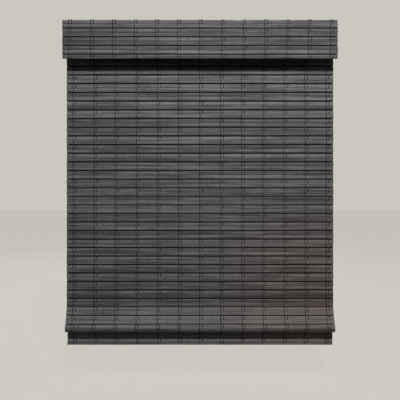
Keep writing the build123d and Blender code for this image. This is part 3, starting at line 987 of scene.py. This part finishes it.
@dataclass
class SlatStock:
    """Blanks of split bamboo: eased and crowned slats with raised joints, cut to each place of a mat."""

    length: float = SHADE_WIDTH
    thickness: float = 2.0 * MM
    height: float = 11.4 * MM
    ease: float = 0.45 * MM
    crown: float = 0.22 * MM
    crown_bevel: float = 2.508 * MM
    cuts: int = 84
    joint_half_width: float = 2.2 * MM
    joint_rise: float = 0.20 * MM
    joint_spacing: tuple[float, float] = (260 * MM, 520 * MM)
    end_margin: float = 20 * MM
    end_room: tuple[float, float] = (0.13 * MM, 1.3 * MM)
    variants: int = 14
    blanks: list[bpy.types.Object] = field(default_factory=list)

    def prepare(self, draw: random.Random) -> None:
        """Models the blanks that every slat is a copy of.

        Args:
            draw: The seeded source of chance.
        """
        self.blanks = [self._blank(number, draw) for number in range(self.variants)]

    def _blank(self, number: int, draw: random.Random) -> bpy.types.Object:
        """Models one blank, with its joints at places of its own.

        Args:
            number: Its number in the stock.
            draw: The seeded source of chance.

        Returns:
            The blank, with its face to the room at -Y.
        """
        blank = Bench.block(f"slat_blank_{number}", (self.length, self.thickness, self.height))
        self._crown(blank)
        joints = []
        x = -self.length / 2 + draw.uniform(self.end_margin, self.joint_spacing[1])
        while x < self.length / 2 - self.end_margin:
            joints.append(x)
            x += draw.uniform(*self.joint_spacing)
        Bench.divide(blank, 0, self.length, self.cuts)
        for x in joints:
            self._joint(blank, x)
        self._mark(blank, joints)
        return blank

    def _crown(self, blank: bpy.types.Object) -> None:
        """Rounds a blank's face to the room and eases its long edges.

        Args:
            blank: The blank to shape.
        """
        near = self.ease / 2
        rim = self.height / 2 - near
        with Bench.editing(blank, "VERT", "SELECT"):
            bpy.ops.mesh.bisect(plane_co=(0, 0, 0), plane_no=(0, 0, 1))
        with Bench.editing(blank, "VERT") as mesh:
            Bench.pick(mesh.verts, lambda v: abs(v.co.z) < near and v.co.y < 0)
            bpy.ops.transform.translate(value=(0, -self.crown, 0))
        with Bench.editing(blank, "EDGE") as mesh:
            Bench.pick(mesh.edges, lambda e: all(v.co.y < 0 and abs(v.co.z) < near for v in e.verts))
            bpy.ops.mesh.bevel(offset=self.crown_bevel, segments=2, profile=0.5, affect="EDGES")
        with Bench.editing(blank, "EDGE") as mesh:
            Bench.pick(mesh.edges, lambda e: Bench.reach(e, 0) > self.length / 2 and
                       all(v.co.y < -self.thickness / 4 and abs(v.co.z) > rim for v in e.verts))
            bpy.ops.mesh.bevel(offset=self.ease, segments=2, profile=0.5, affect="EDGES")

    def _joint(self, blank: bpy.types.Object, x: float) -> None:
        """Raises one joint of the cane across the face.

        Args:
            blank: The blank to shape.
            x: The joint's place along it.
        """
        for share in (-1, -1 / 3, 1 / 3, 1):
            with Bench.editing(blank, "VERT", "SELECT"):
                bpy.ops.mesh.bisect(plane_co=(x + share * self.joint_half_width, 0, 0), plane_no=(1, 0, 0))
        with Bench.editing(blank, "VERT") as mesh:
            near = self.joint_half_width / 2
            Bench.pick(mesh.verts, lambda v: abs(v.co.x - x) < near and v.co.y < -self.thickness / 4)
            bpy.ops.transform.translate(value=(0, -self.joint_rise, 0))

    def _mark(self, blank: bpy.types.Object, joints: list[float]) -> None:
        """Writes each point's height across the slat, and whether it is on a joint, for the stain and its
        painted shade to read.

        Args:
            blank: The blank to mark.
            joints: The joints' places along it.
        """
        across = blank.data.attributes.new("across", "FLOAT", "POINT")
        joint = blank.data.attributes.new("joint", "FLOAT", "POINT")
        for index, vertex in enumerate(blank.data.vertices):
            across.data[index].value = vertex.co.z / self.height
            near = min((abs(vertex.co.x - x) for x in joints), default=self.length)
            joint.data[index].value = 1.0 if near < self.joint_half_width / 2 else 0.0

    def cut(self, place: SlatPlace, draw: random.Random, look: MatLook) -> bpy.types.Object:
        """Cuts one slat to its place, and turns some end for end.

        Args:
            place: The slat's place.
            draw: The seeded source of chance.
            look: How its mat differs from the others.

        Returns:
            The slat, with its tone marked on it.
        """
        blank = draw.choice(self.blanks)
        left, right = draw.uniform(*self.end_room), draw.uniform(*self.end_room)
        stretch = (self.length - left - right) / self.length
        mirrored = draw.choice((True, False))
        gap_side = -1 if place.kind is SlatKind.NARROW else 1
        slide = Matrix.Translation(((left - right) / 2, 0, -gap_side * look.trim / 2))
        size = Matrix.Diagonal((-stretch if mirrored else stretch, 1,
                                (place.height - look.trim) / self.height, 1))
        slat = Bench.copy(blank, place.placing @ slide @ size)
        if mirrored:
            with Bench.editing(slat, "FACE", "SELECT"):
                bpy.ops.mesh.flip_normals()
        # Across grows towards the wide gap, where the dark rim of painted shade lies.
        for mark in slat.data.attributes["across"].data:
            mark.value *= gap_side * look.line
        tone = slat.data.attributes.new("tone", "FLOAT", "POINT")
        # Painted light: the whole mat's tone is lifted or lowered for the light that falls on it.
        shade = draw.random() + look.painted_light
        tone.data.foreach_set("value", [shade] * len(slat.data.vertices))
        return slat


@dataclass
class Wander:
    """The slow unevenness of hand-split slats, the same for whatever lies in one place."""

    cell: tuple[float, float, float] = (34 * MM, 30 * MM, 9 * MM)
    drift: float = 0.75 * MM
    drift_grain: float = 1.0
    swell: float = 0.45 * MM
    swell_grain: float = 0.8
    axes: bpy.types.Object | None = None

    def prepare(self) -> None:
        """Makes the two patterns and the axes that they are read in."""
        self.axes = bpy.data.objects.new("wander_axes", None)
        bpy.context.scene.collection.objects.link(self.axes)
        self.axes.scale = self.cell
        bpy.context.view_layer.update()
        for name, grain in (("slat_drift", self.drift_grain), ("slat_swell", self.swell_grain)):
            pattern = bpy.data.textures.new(name, "CLOUDS")
            pattern.noise_scale = grain
            pattern.noise_depth = 1

    def apply(self, piece: bpy.types.Object) -> None:
        """Moves a piece's points up, down, in and out by the patterns.

        Args:
            piece: The piece, in its place.
        """
        moves = (("slat_drift", "Z", self.drift), ("slat_swell", "Y", self.swell))
        for name, direction, strength in moves:
            Bench.finish(piece, "DISPLACE", texture=bpy.data.textures[name], texture_coords="OBJECT",
                         texture_coords_object=self.axes, direction=direction, mid_level=0.5,
                         strength=strength)


@dataclass
class Weave:
    """Sizes of the twine: strands in pairs in front, one strand behind, and a weft in each wide gap.

    Attributes:
        columns: How many columns of twine the mat has.
        edge: How far the first and last columns stand from the mat's ends.
        width: The mat's width.
        column_drift: How far a column may stand from its even place.
        reach: The widest gap between two slats that follow each other.
        strand: The radius of a strand.
        front_steps: How many pieces a strand's line has on a slat's front.
        back_steps: The same on its back.
        bow: How far each strand of a pair stands aside over a wide slat.
        bow_range: The least and the most of that, as shares.
        back_bow: The same on the back, where one strand runs nearly straight.
        lean: How much further the pair leans to the right, as a share of the bow.
        closed: How far each strand stands aside where the pair is drawn together.
        crossing: How much of that is left under a narrow slat.
        wide_taper: How fast a pair closes down a wide slat.
        narrow_open: How open a pair still is at a narrow slat's top.
        narrow_taper: How fast it closes there.
        held: How far from a slat's middle it is followed, as a share of the slat's height.
        proud_wide: How far a strand's middle stands out from a wide slat, in radii.
        proud_narrow: The same on a narrow slat.
        sink: How far under a slat's face a strand passes between slats.
        lead: How far below a slat it does so.
        hinge_strand: The radius of the twine that crosses a fold's hinge.
        hinge_pair: How much further to the right its second strand stands.
        hinge_hold: How far it reaches over the slats above and below.
        hinge_steps: How many pieces its line has.
        weft_sides: How many sides a weft has.
        weft_cuts: How many cuts it has along the width.
        weft_end: How far it stays back from the mat's ends.
        weft_overlap: How far it reaches behind the slats above and below.
        weft_depth: Its depth.
        weft_back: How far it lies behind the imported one.
    """

    columns: int = 13
    edge: float = 20 * MM
    width: float = SHADE_WIDTH
    column_drift: float = 0.6 * MM
    reach: float = 4 * MM
    strand: float = 0.90 * MM
    front_steps: int = 8
    back_steps: int = 3
    bow: float = 3.8 * MM
    bow_range: tuple[float, float] = (0.85, 1.1)
    back_bow: float = 0.2 * MM
    lean: float = 0.65
    closed: float = 0.32 * MM
    crossing: float = 0.3
    wide_taper: float = 0.1
    narrow_open: float = 0.9
    narrow_taper: float = 3.6
    held: float = 0.47
    proud_wide: float = 0.6
    proud_narrow: float = -0.15
    sink: float = 0.9 * MM
    lead: float = 0.8 * MM
    hinge_strand: float = 0.6 * MM
    hinge_pair: float = 6.0 * MM
    hinge_hold: float = 1.5 * MM
    hinge_steps: int = 10
    weft_sides: int = 6
    weft_cuts: int = 60
    weft_end: float = 1.5 * MM
    weft_overlap: float = 0.88 * MM
    weft_depth: float = 1.3 * MM
    weft_back: float = 0.25 * MM

    @property
    def column_places(self) -> list[float]:
        """The columns' places along the width."""
        pitch = (self.width - 2 * self.edge) / (self.columns - 1)
        return [-self.width / 2 + self.edge + number * pitch for number in range(self.columns)]


@dataclass
class WovenMat:
    """One stretch of the woven mat that moves as one body."""

    slats: str
    twine: str
    body: str
    stock: SlatStock
    weave: Weave
    wander: Wander
    finishes: Finishes
    seed: int
    look: MatLook = MatLook()
    runs: list[list[SlatPlace]] = field(default_factory=list)

    def build(self) -> list[bpy.types.Object]:
        """Models the mat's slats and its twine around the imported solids.

        Returns:
            The two pieces.
        """
        draw = random.Random(self.seed)
        places = [PackedWeave.section(points) for points in PackedWeave.solids(self.slats)]
        self.runs = PackedWeave.runs(places, self.weave.reach)
        cut = [self.stock.cut(place, draw, self.look) for run in self.runs for place in run]
        slats = Bench.join(f"{self.slats}_split", cut)
        self.wander.apply(slats)
        Bench.smooth(slats)
        return [hand_over(slats, self.finishes.bamboo, self.body, "stained_bamboo", self.slats),
                hand_over(self._twine(draw), self.finishes.twine, self.body, "twine", self.twine)]

    def hinge(self, above: "WovenMat") -> bpy.types.Object:
        """Models the twine that crosses from the mat above to this one, round the joint between them.

        Args:
            above: The mat whose last slat hangs over this mat's first one.

        Returns:
            The crossing strands as one piece.
        """
        weave = self.weave
        last, first = above.runs[0][-1], self.runs[0][0]
        start, end = last.at(0, 0, -last.height / 2), first.at(0, 0, first.height / 2)
        hold = (end - start).normalized() * weave.hinge_hold
        lines = []
        for x in weave.column_places:
            for aside in (-weave.closed, weave.closed + weave.hinge_pair):
                middle = Vector((x + aside, 0, 0))
                lines.append([(start - hold).lerp(end + hold, step / weave.hinge_steps) + middle
                              for step in range(weave.hinge_steps + 1)])
        piece = self._spin(f"hinge_twine_{above.body}_{self.body}", lines, weave.hinge_strand)
        tuple(start)
        tuple(end)
        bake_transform(piece)
        return piece

    def _twine(self, draw: random.Random) -> bpy.types.Object:
        """Models the strands of every column, and the wefts.

        Args:
            draw: The seeded source of chance.

        Returns:
            All of them as one piece.
        """
        lines = []
        for number, run in enumerate(self.runs):
            for x in self.weave.column_places:
                column = x + draw.uniform(-self.weave.column_drift, self.weave.column_drift)
                if number == 0:
                    lines += [self._strand(run, column, Face.ROOM, side, draw) for side in (-1, 1)]
                if not self.body.startswith("ring_row"):
                    lines.append(self._strand(run, column, Face.WINDOW, 0, draw))
        strands = self._spin(f"{self.twine}_strands", lines, self.weave.strand)
        wefts = [self._weft(points) for points in PackedWeave.solids(self.twine)
                 if max(p.x for p in points) - min(p.x for p in points) > self.weave.width / 2]
        return Bench.join(f"{self.twine}_spun", [strands, *wefts])

    def _strand(self, run: list[SlatPlace], x: float, face: Face, side: int,
                draw: random.Random) -> list[Vector]:
        """Finds the line of one strand down a run of slats.

        Args:
            run: The slats, from the top.
            x: The place of the strand's column.
            face: The face of the mat that it lies on.
            side: -1 or 1 for a strand of a pair, 0 for a single one.
            draw: The seeded source of chance.

        Returns:
            The points that it passes through.
        """
        weave = self.weave
        under = face.value * (self.stock.thickness / 2 - weave.sink)
        closed = side * weave.closed
        points = []
        if run[0].kind is SlatKind.WIDE:
            points.append(run[0].at(x + closed, under, run[0].height / 2 + self.look.top_lead))
        for place in run:
            points += self._over(place, x, face, side, draw)
            if place.kind is SlatKind.NARROW:
                aside = closed if place is run[-1] else weave.crossing * closed
                points.append(place.at(x + aside, under, -place.height / 2 - weave.lead))
        return points

    def _over(self, place: SlatPlace, x: float, face: Face, side: int,
              draw: random.Random) -> list[Vector]:
        """Finds the line of one strand over one slat; the right one of a pair goes under a narrow slat.

        Args:
            place: The slat's place.
            x: The place of the strand's column.
            face: The face of the slat that it lies on.
            side: -1 or 1 for a strand of a pair, 0 for a single one.
            draw: The seeded source of chance.

        Returns:
            The points that it passes through.
        """
        weave, half = self.weave, self.stock.thickness / 2
        in_front, wide = face is Face.ROOM, place.kind is SlatKind.WIDE
        steps = weave.front_steps if in_front else weave.back_steps
        bow = weave.bow * draw.uniform(*weave.bow_range) if in_front else weave.back_bow
        proud = (weave.proud_wide if wide else weave.proud_narrow) * weave.strand
        points = []
        for step in range(steps + 1):
            share = step / steps
            if wide:
                opened = 1 - weave.wide_taper * share
            else:
                opened = weave.narrow_open * max(0.0, 1 - weave.narrow_taper * share)
            spread = side * (weave.closed + bow * opened) + weave.lean * abs(side) * bow * opened
            arch = self.stock.crown * math.sin(math.pi * share) if in_front else 0
            lift = half - weave.sink if side > 0 and not wide else half + proud + arch
            height = place.height * weave.held * (1 - 2 * share)
            points.append(place.at(x + spread, face.value * lift, height))
        return points

    def _spin(self, name: str, lines: list[list[Vector]], radius: float) -> bpy.types.Object:
        """Makes round strands of twine along lines.

        Args:
            name: The piece's name.
            lines: The points of each strand's middle line.
            radius: The strands' radius.

        Returns:
            The strands as one piece, as uneven as the slats.
        """
        piece = Bench.tubes(name, lines, radius, 1)
        self.wander.apply(piece)
        Bench.smooth(piece, 60)
        piece.data.materials.append(self.finishes.twine)
        return piece

    def _weft(self, points: list[Vector]) -> bpy.types.Object:
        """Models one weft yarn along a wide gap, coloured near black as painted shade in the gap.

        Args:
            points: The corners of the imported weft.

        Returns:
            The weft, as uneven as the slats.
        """
        weave = self.weave
        place = PackedWeave.section(points)
        gap = min(place.height, max(p.z for p in points) - min(p.z for p in points))
        middle = sum(points, Vector()) / len(points)
        # The rod is 1 across until it is flattened to the gap.
        weft = Bench.rod("weft", 0.5, weave.width - 2 * weave.weft_end, weave.weft_sides)
        weft.data.transform(Matrix.Diagonal((1, weave.weft_depth, gap + 2 * weave.weft_overlap, 1)))
        weft.data.transform(Matrix.Translation((0, middle.y + weave.weft_back, middle.z)))
        Bench.divide(weft, 0, weave.width, weave.weft_cuts)
        self.wander.apply(weft)
        weft.data.materials.append(self.finishes.weft)
        Bench.smooth(weft, 70)
        return weft


@dataclass
class LiftRings:
    """A pair of moulded rings on the back of a ring slat."""

    row: int
    body: str
    finish: bpy.types.Material
    outer: float = 5.7 * MM
    thickness: float = 2.2 * MM
    sides: tuple[int, int] = (32, 10)
    foot: float = 8.0 * MM
    foot_thickness: float = 1.2 * MM
    foot_inset: float = 2.24 * MM
    foot_step: float = 0.6 * MM
    ease: float = 0.25 * MM

    def build(self) -> bpy.types.Object:
        """Models one ring on its foot and sets a pair on the slat.

        Returns:
            The pair as one piece.
        """
        node = f"lift_rings_{self.row}"
        low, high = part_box(node)
        ring = self._ring(high.y - self.outer - low.y)
        piece = at_both_cords(f"{node}_moulded", ring, low.y, (low.z + high.z) / 2)
        Bench.smooth(piece, 40)
        return hand_over(piece, self.finish, self.body, "moulded_plastic", node)

    def _ring(self, reach: float) -> bpy.types.Object:
        """Models a flattened ring with a bevelled foot behind it.

        Args:
            reach: How far the ring's middle stands out from the slat.

        Returns:
            The ring and its foot as one piece.
        """
        tube = self.thickness / 2
        ring = Bench.ring("ring", self.outer - tube, tube, self.sides, (0, reach, 0))
        foot = Bench.block("foot", (self.foot, self.foot_thickness, self.foot),
                           (0, self.foot_thickness / 2, 0))
        with Bench.editing(foot, "FACE") as mesh:
            Bench.pick(mesh.faces, lambda face: face.normal.y > 0.9)
            bpy.ops.mesh.inset(thickness=self.foot_inset, depth=0)
            bpy.ops.mesh.extrude_region_move(TRANSFORM_OT_translate={"value": (0, self.foot_step, 0)})
        Bench.finish(foot, "BEVEL", width=self.ease, segments=2)
        return Bench.join("ring_on_foot", [ring, foot])


@dataclass
class LiftCords:
    """Both lift cords between two ring rows."""

    row: int
    body: str
    joint: str
    finish: bpy.types.Material
    closed_degrees: float = 85
    hinge_arm: float = 3.9 * MM
    spare: float = 0.25 * MM
    radius: float = 0.7 * MM
    sides: int = 10
    cuts: int = 12

    def build(self, spacing: float) -> bpy.types.Object:
        """Models the pair of cords.

        Args:
            spacing: The height between the two axes of the fold.

        Returns:
            The pair as one piece.
        """
        turn = math.radians(self.closed_degrees)
        rise = spacing * (1 - math.cos(turn)) - 2 * self.hinge_arm * math.sin(turn) + self.spare
        node = f"lift_cords_{self.row}"
        cords = []
        for points in PackedWeave.solids(node):
            top, bottom = max(p.z for p in points) - self.spare, min(p.z for p in points)
            middle = sum(points, Vector()) / len(points)
            cord = Bench.rod("cord", self.radius, top - bottom, self.sides, "Z",
                             (middle.x, middle.y, (top + bottom) / 2))
            Bench.divide(cord, 2, top - bottom, self.cuts)
            cords.append(cord)
        piece = Bench.join(f"{node}_braided", cords)
        Bench.smooth(piece, 60)
        hand_over(piece, self.finish, self.body, "lift_cord", node)
        1 - rise / (top - bottom)
        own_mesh(piece)
        return piece


@dataclass(frozen=True)
class EasedSolid:
    """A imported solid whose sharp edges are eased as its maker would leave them."""

    node: str
    body: str
    ease: float
    segments: int = 2
    flat_degrees: float = 2
    sharp_degrees: float = 40

    def build(self, finish: bpy.types.Material, slot: str) -> bpy.types.Object:
        """Copies the solid and eases its edges.

        Args:
            finish: The piece's material.
            slot: The record's slot for it.

        Returns:
            The piece that stands for the solid.
        """
        piece = Bench.copy(frame["nodes"][self.node], Matrix.Identity(4))
        piece.name = piece.data.name = f"{self.node}_eased"
        with Bench.editing(piece, "VERT", "SELECT"):
            bpy.ops.mesh.remove_doubles(threshold=MERGE_DISTANCE)
            bpy.ops.mesh.dissolve_limited(angle_limit=math.radians(self.flat_degrees))
        Bench.finish(piece, "BEVEL", width=self.ease, segments=self.segments, limit_method="ANGLE",
                     angle_limit=math.radians(self.sharp_degrees), harden_normals=False)
        Bench.finish(piece, "TRIANGULATE")
        Bench.smooth(piece, self.sharp_degrees)
        piece.data.materials.clear()
        return hand_over(piece, finish, self.body, slot, self.node)


@dataclass(frozen=True)
class CordWinding:
    """The turns of lift cord that stay on a spool when the shade is down."""

    side: Side
    finish: bpy.types.Material
    axis_y: float = 9.5 * MM
    axis_z: float = -16.5 * MM
    spool_radius: float = 9.1 * MM
    radius: float = 0.66 * MM
    pitch: float = 1.419 * MM
    turns: int = 5
    points_a_turn: int = 28

    def build(self) -> bpy.types.Object:
        """Models the winding as a helix on the spool.

        Returns:
            The winding.
        """
        reach = self.spool_radius + self.radius
        count = self.turns * self.points_a_turn
        line = []
        for index in range(count + 1):
            angle = 2 * math.pi * index / self.points_a_turn
            along = self.side.value * CORD_ASIDE + (index / count - 0.5) * self.turns * self.pitch
            line.append(Vector((along, self.axis_y + reach * math.cos(angle),
                                self.axis_z + reach * math.sin(angle))))
        piece = Bench.tubes(f"cord_winding_{self.side.name.lower()}", [line], self.radius, 2)
        Bench.smooth(piece, 60)
        return hand_over(piece, self.finish, "lift_shaft", "lift_cord")


@dataclass(frozen=True)
class CordKnots:
    """The stopper knot of each lift cord under its anchor, with a short loose end.

    Attributes:
        finish: The cord's material.
        cord_y: How far behind the mat the cords hang.
        loop: The radius of one loop of a knot.
        strand: The cord's radius.
        loops: The tilt of each loop, and how many loop radii it hangs below the anchor.
        sides: How many sides a loop has, round it and round the cord.
        loose: The length of the loose end.
        loose_sides: How many sides it has.
        loose_share: Its radius, as a share of the cord's.
        swing: How far its tip swings to the side and back.
    """

    finish: bpy.types.Material
    cord_y: float = 19.5 * MM
    loop: float = 1.25 * MM
    strand: float = 0.72 * MM
    loops: tuple[tuple[float, float], ...] = ((0.35, 0.9), (-0.45, 2.0), (1.2, 1.4))
    sides: tuple[int, int] = (18, 8)
    loose: float = 7.0 * MM
    loose_sides: int = 8
    loose_share: float = 0.85
    swing: tuple[float, float] = (0.9 * MM, 0.6 * MM)

    def build(self) -> bpy.types.Object:
        """Models one knot and sets a pair under the anchors.

        Returns:
            The pair as one piece.
        """
        low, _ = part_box("cord_anchors")
        loops = [Bench.ring("loop", self.loop, self.strand, self.sides, (0, 0, -drop * self.loop),
                            (turn, turn / 2, 0)) for turn, drop in self.loops]
        end = Bench.rod("loose_end", self.loose_share * self.strand, self.loose, self.loose_sides, "Z",
                        (0, 0, -2 * self.loop - self.loose / 2))
        with Bench.editing(end, "VERT") as mesh:
            Bench.pick(mesh.verts, lambda v: v.co.z < -self.loose)
            bpy.ops.transform.translate(value=(*self.swing, 0))
        piece = at_both_cords("cord_knots", Bench.join("knot", [*loops, end]), self.cord_y, low.z)
        Bench.smooth(piece, 60)
        return hand_over(piece, self.finish, "bottom_fold", "lift_cord")


@dataclass
class Headrail:
    """The rail, its lift drive and the laths: some eased, the others in their packed form."""

    finishes: Finishes

    def build(self) -> Iterator[bpy.types.Object]:
        """Models the solids whose edges show, and the cord on the spools.

        Yields:
            Each piece, once it is finished.
        """
        # The width of the eased edge of each solid, in millimetres, by the body that it rides on.
        eased = {
            "headrail": {"end_cap_left": 0.5, "end_cap_right": 0.5, "bracket_left": 0.25,
                         "bracket_right": 0.25, "hanging_strip": 0.7, "valance_strip": 0.5,
                         "spool_cradle_left": 0.4, "spool_cradle_right": 0.4, "motor_housing": 0.4,
                         "headrail_channel": 0.2},
            "lift_shaft": {"cord_spool_left": 0.3, "cord_spool_right": 0.3, "motor_drum": 0.3},
            "spring_store": {"spring_spool": 0.3},
            "bottom_fold": {"bottom_bar": 0.8, "bar_caps": 0.5, "cord_anchors": 0.9},
        }
        slots = {part["node"]: part["material_slot"] for part in frame["record"]["subparts"]}
        finishes = self._by_slot()
        for body, nodes in eased.items():
            for node, width in nodes.items():
                yield EasedSolid(node, body, width * MM).build(finishes[slots[node]], slots[node])
        for side in Side:
            yield CordWinding(side, self.finishes.cord).build()

    def _by_slot(self) -> dict[str, bpy.types.Material]:
        """Matches the record's slots for the rail and the lift gear with the finishes.

        Returns:
            The material of each slot.
        """
        return {
            "stained_lath": self.finishes.lath,
            "rail_paint": self.finishes.paint,
            "plated_steel": self.finishes.zinc,
            "spring_steel": self.finishes.spring,
            "moulded_plastic": self.finishes.plastic,
            "lift_cord": self.finishes.cord,
        }

    def dress(self) -> int:
        """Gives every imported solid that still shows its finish.

        Returns:
            How many solids were dressed.
        """
        by_slot = self._by_slot()
        count = 0
        for part in frame["record"]["subparts"]:
            node = frame["nodes"][part["node"]]
            if node.hide_render:
                continue
            node.data.materials.clear()
            node.data.materials.append(by_slot[part["material_slot"]])
            count += 1
        return count


@dataclass(frozen=True)
class SoftLamp:
    """A square soft lamp: where it hangs, the point it faces, the length of its side and its power."""

    name: str
    place: tuple[float, float, float]
    aim: tuple[float, float, float]
    size: float
    watts: float

    def hang(self) -> None:
        """Hangs the lamp, hidden from the camera."""
        data = bpy.data.lights.new(self.name, "AREA")
        data.size, data.energy = self.size, self.watts
        lamp = bpy.data.objects.new(self.name, data)
        bpy.context.scene.collection.objects.link(lamp)
        lamp.visible_camera = False
        lamp.location = self.place
        lamp.rotation_euler = (Vector(self.aim) - Vector(self.place)).to_track_quat("-Z", "Y").to_euler()


@dataclass
class Studio:
    """A pale floor, plain soft light and a camera at the height of the shade's middle."""

    floor_z: float = -1.02
    floor_size: float = 40.0
    floor_colour: tuple[float, float, float] = (0.07, 0.068, 0.065)
    floor_shown: float = 0.925
    backdrop_colour: tuple[float, float, float] = (0.60, 0.575, 0.53)
    sky: float = 0.10
    camera_place: tuple[float, float, float] = (0.0, -1.145, -0.4988)
    lens: float = 36.4
    sensor: float = 36.0
    lamps: tuple[SoftLamp, ...] = (
        SoftLamp("key", (0.2, -1.3, 0.73), (0.0, 0.0, -0.25), 0.30, 31.5),
        SoftLamp("left", (-2.4, 0.25, 0.5), (0.0, 0.1, -0.5), 1.4, 10.0),
        SoftLamp("right", (2.4, 0.25, 0.5), (0.0, 0.1, -0.5), 1.4, 10.0),
        SoftLamp("back", (-0.5, 2.3, 1.0), (0.0, 0.0, -0.5), 1.4, 62.0),
    )

    def build(self) -> None:
        """Sets up the floor, the sky, the lamps and the camera."""
        self._floor()
        self._sky()
        for lamp in self.lamps:
            lamp.hang()
        self._camera()
        bpy.context.scene.view_settings.view_transform = "Standard"

    def _floor(self) -> None:
        """Lays a plain floor below the shade, which looks pale and still shows the shade's shadow."""
        Bench.clear()
        bpy.ops.mesh.primitive_plane_add(size=self.floor_size, location=(0, 0, self.floor_z))
        floor = bpy.context.active_object
        floor.name = "studio_floor"
        shader = Shader("studio_floor")
        shown = tuple(self.floor_shown * c for c in self.backdrop_colour)
        glow = shader.mix(shader.seen(), (0.0, 0.0, 0.0), shown)
        floor.data.materials.append(
            shader.dress(Base_Color=self.floor_colour, Roughness=1.0, Specular_IOR_Level=0.0,
                         Emission_Color=glow, Emission_Strength=1.0))
        floor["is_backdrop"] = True

    def _sky(self) -> None:
        """Sends white light from all round, and shows a pale colour past the floor."""
        world = bpy.data.worlds.new("studio_sky")
        bpy.context.scene.world = world
        world.use_nodes = True
        sky = Nodes(world.node_tree)
        sky.tree.nodes.remove(sky.tree.nodes["Background"])
        light = sky.node("ShaderNodeBackground", {}, {"Color": (1, 1, 1, 1), "Strength": self.sky})
        shown = sky.node("ShaderNodeBackground", {},
                         {"Color": (*self.backdrop_colour, 1), "Strength": 1.0})
        mixed = sky.node("ShaderNodeMixShader", {}, {0: sky.seen(), 1: light, 2: shown})
        sky.tree.links.new(mixed.socket, sky.tree.nodes["World Output"].inputs["Surface"])

    def _camera(self) -> None:
        """Sets up a level camera in front of the shade."""
        data = bpy.data.cameras.new("camera")
        data.lens, data.sensor_width = self.lens, self.sensor
        camera = bpy.data.objects.new("camera", data)
        bpy.context.scene.collection.objects.link(camera)
        camera.location = self.camera_place
        camera.rotation_euler = (math.pi / 2, 0, 0)
        bpy.context.scene.camera = camera


@dataclass
class Shade:
    """The whole shade: its mats in order from the top, and its lift gear."""

    folds: int = 4
    narrow_slat: float = 11.1 * MM
    blank_seed: int = 20
    mat_seed: int = 100
    finishes: Finishes = field(default_factory=Finishes.make)
    stock: SlatStock = field(default_factory=SlatStock)
    weave: Weave = field(default_factory=Weave)
    wander: Wander = field(default_factory=Wander)

    def mats(self) -> Iterator[tuple[str, str, str, MatLook]]:
        """Lists the stretches of mat from the top.

        Yields:
            The slat node, the twine node, the body and the look of each one.
        """
        # Painted light: the valance is painted darker than the other mats, for the light on it.
        yield "valance_slats", "valance_twine", "headrail", MatLook(painted_light=-0.35, top_lead=-0.5 * MM)
        yield "top_slats", "top_twine", "headrail", MatLook()
        for fold in range(1, self.folds + 1):
            for part in ("upper_flap", "lower_flap"):
                yield f"{part}_slats_{fold}", f"{part}_twine_{fold}", f"{part}_{fold}", MatLook()
            if fold < self.folds:
                yield f"ring_slat_{fold}", f"ring_slat_twine_{fold}", f"ring_row_{fold}", MatLook()
        # Painted light: the bottom fold and the tail are painted lighter, for the light that falls on them.
        for part, painted_light in (("bottom_fold", 0.75), ("tail", 0.7)):
            look = MatLook(painted_light, trim=0.35 * MM, line=0.94)
            yield f"{part}_slats", f"{part}_twine", "bottom_fold", look

    def build(self) -> Iterator[bpy.types.Object]:
        """Builds every piece.

        Yields:
            Each piece, once it is finished.
        """
        self.stock.prepare(random.Random(self.blank_seed))
        self.wander.prepare()
        above = None
        for number, (slats, twine, body, look) in enumerate(self.mats()):
            mat = WovenMat(slats, twine, body, self.stock, self.weave, self.wander, self.finishes,
                           self.mat_seed + number, look)
            yield from mat.build()
            if above and above.body != body:
                yield mat.hinge(above)
            above = mat
        Bench.discard(*self.stock.blanks, self.wander.axes)
        yield from self._lift_gear()
        yield from Headrail(self.finishes).build()

    def _lift_gear(self) -> Iterator[bpy.types.Object]:
        """Builds the rings and the cords of each fold, and the knots.

        Yields:
            Each piece, once it is finished.
        """
        above = "headrail"
        axis_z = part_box("top_slats")[0].z + self.narrow_slat / 2
        for fold in range(1, self.folds + 1):
            below = f"ring_row_{fold}" if fold < self.folds else "bottom_fold"
            yield LiftRings(fold, below, self.finishes.plastic).build()
            next_axis_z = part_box(f"lift_cords_{fold}")[0].z
            yield LiftCords(fold, above, f"fold_{fold}", self.finishes.cord).build(axis_z - next_axis_z)
            above, axis_z = below, next_axis_z
        yield CordKnots(self.finishes.cord).build()


def main() -> None:
    """Builds the shade and its studio."""
    logging.basicConfig(level=logging.INFO, format="%(message)s")
    shade = Shade()
    for piece in shade.build():
        log.info("%s: %d faces", piece.name, len(piece.data.polygons))
    log.info("%d packed solids dressed", Headrail(shade.finishes).dress())
    Studio().build()
    boxes = {"cad": CAD_BOX, "visual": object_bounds()}
    {name: [list(low), list(high)] for name, (low, high) in boxes.items()}


if __name__ == "__main__":
    main()
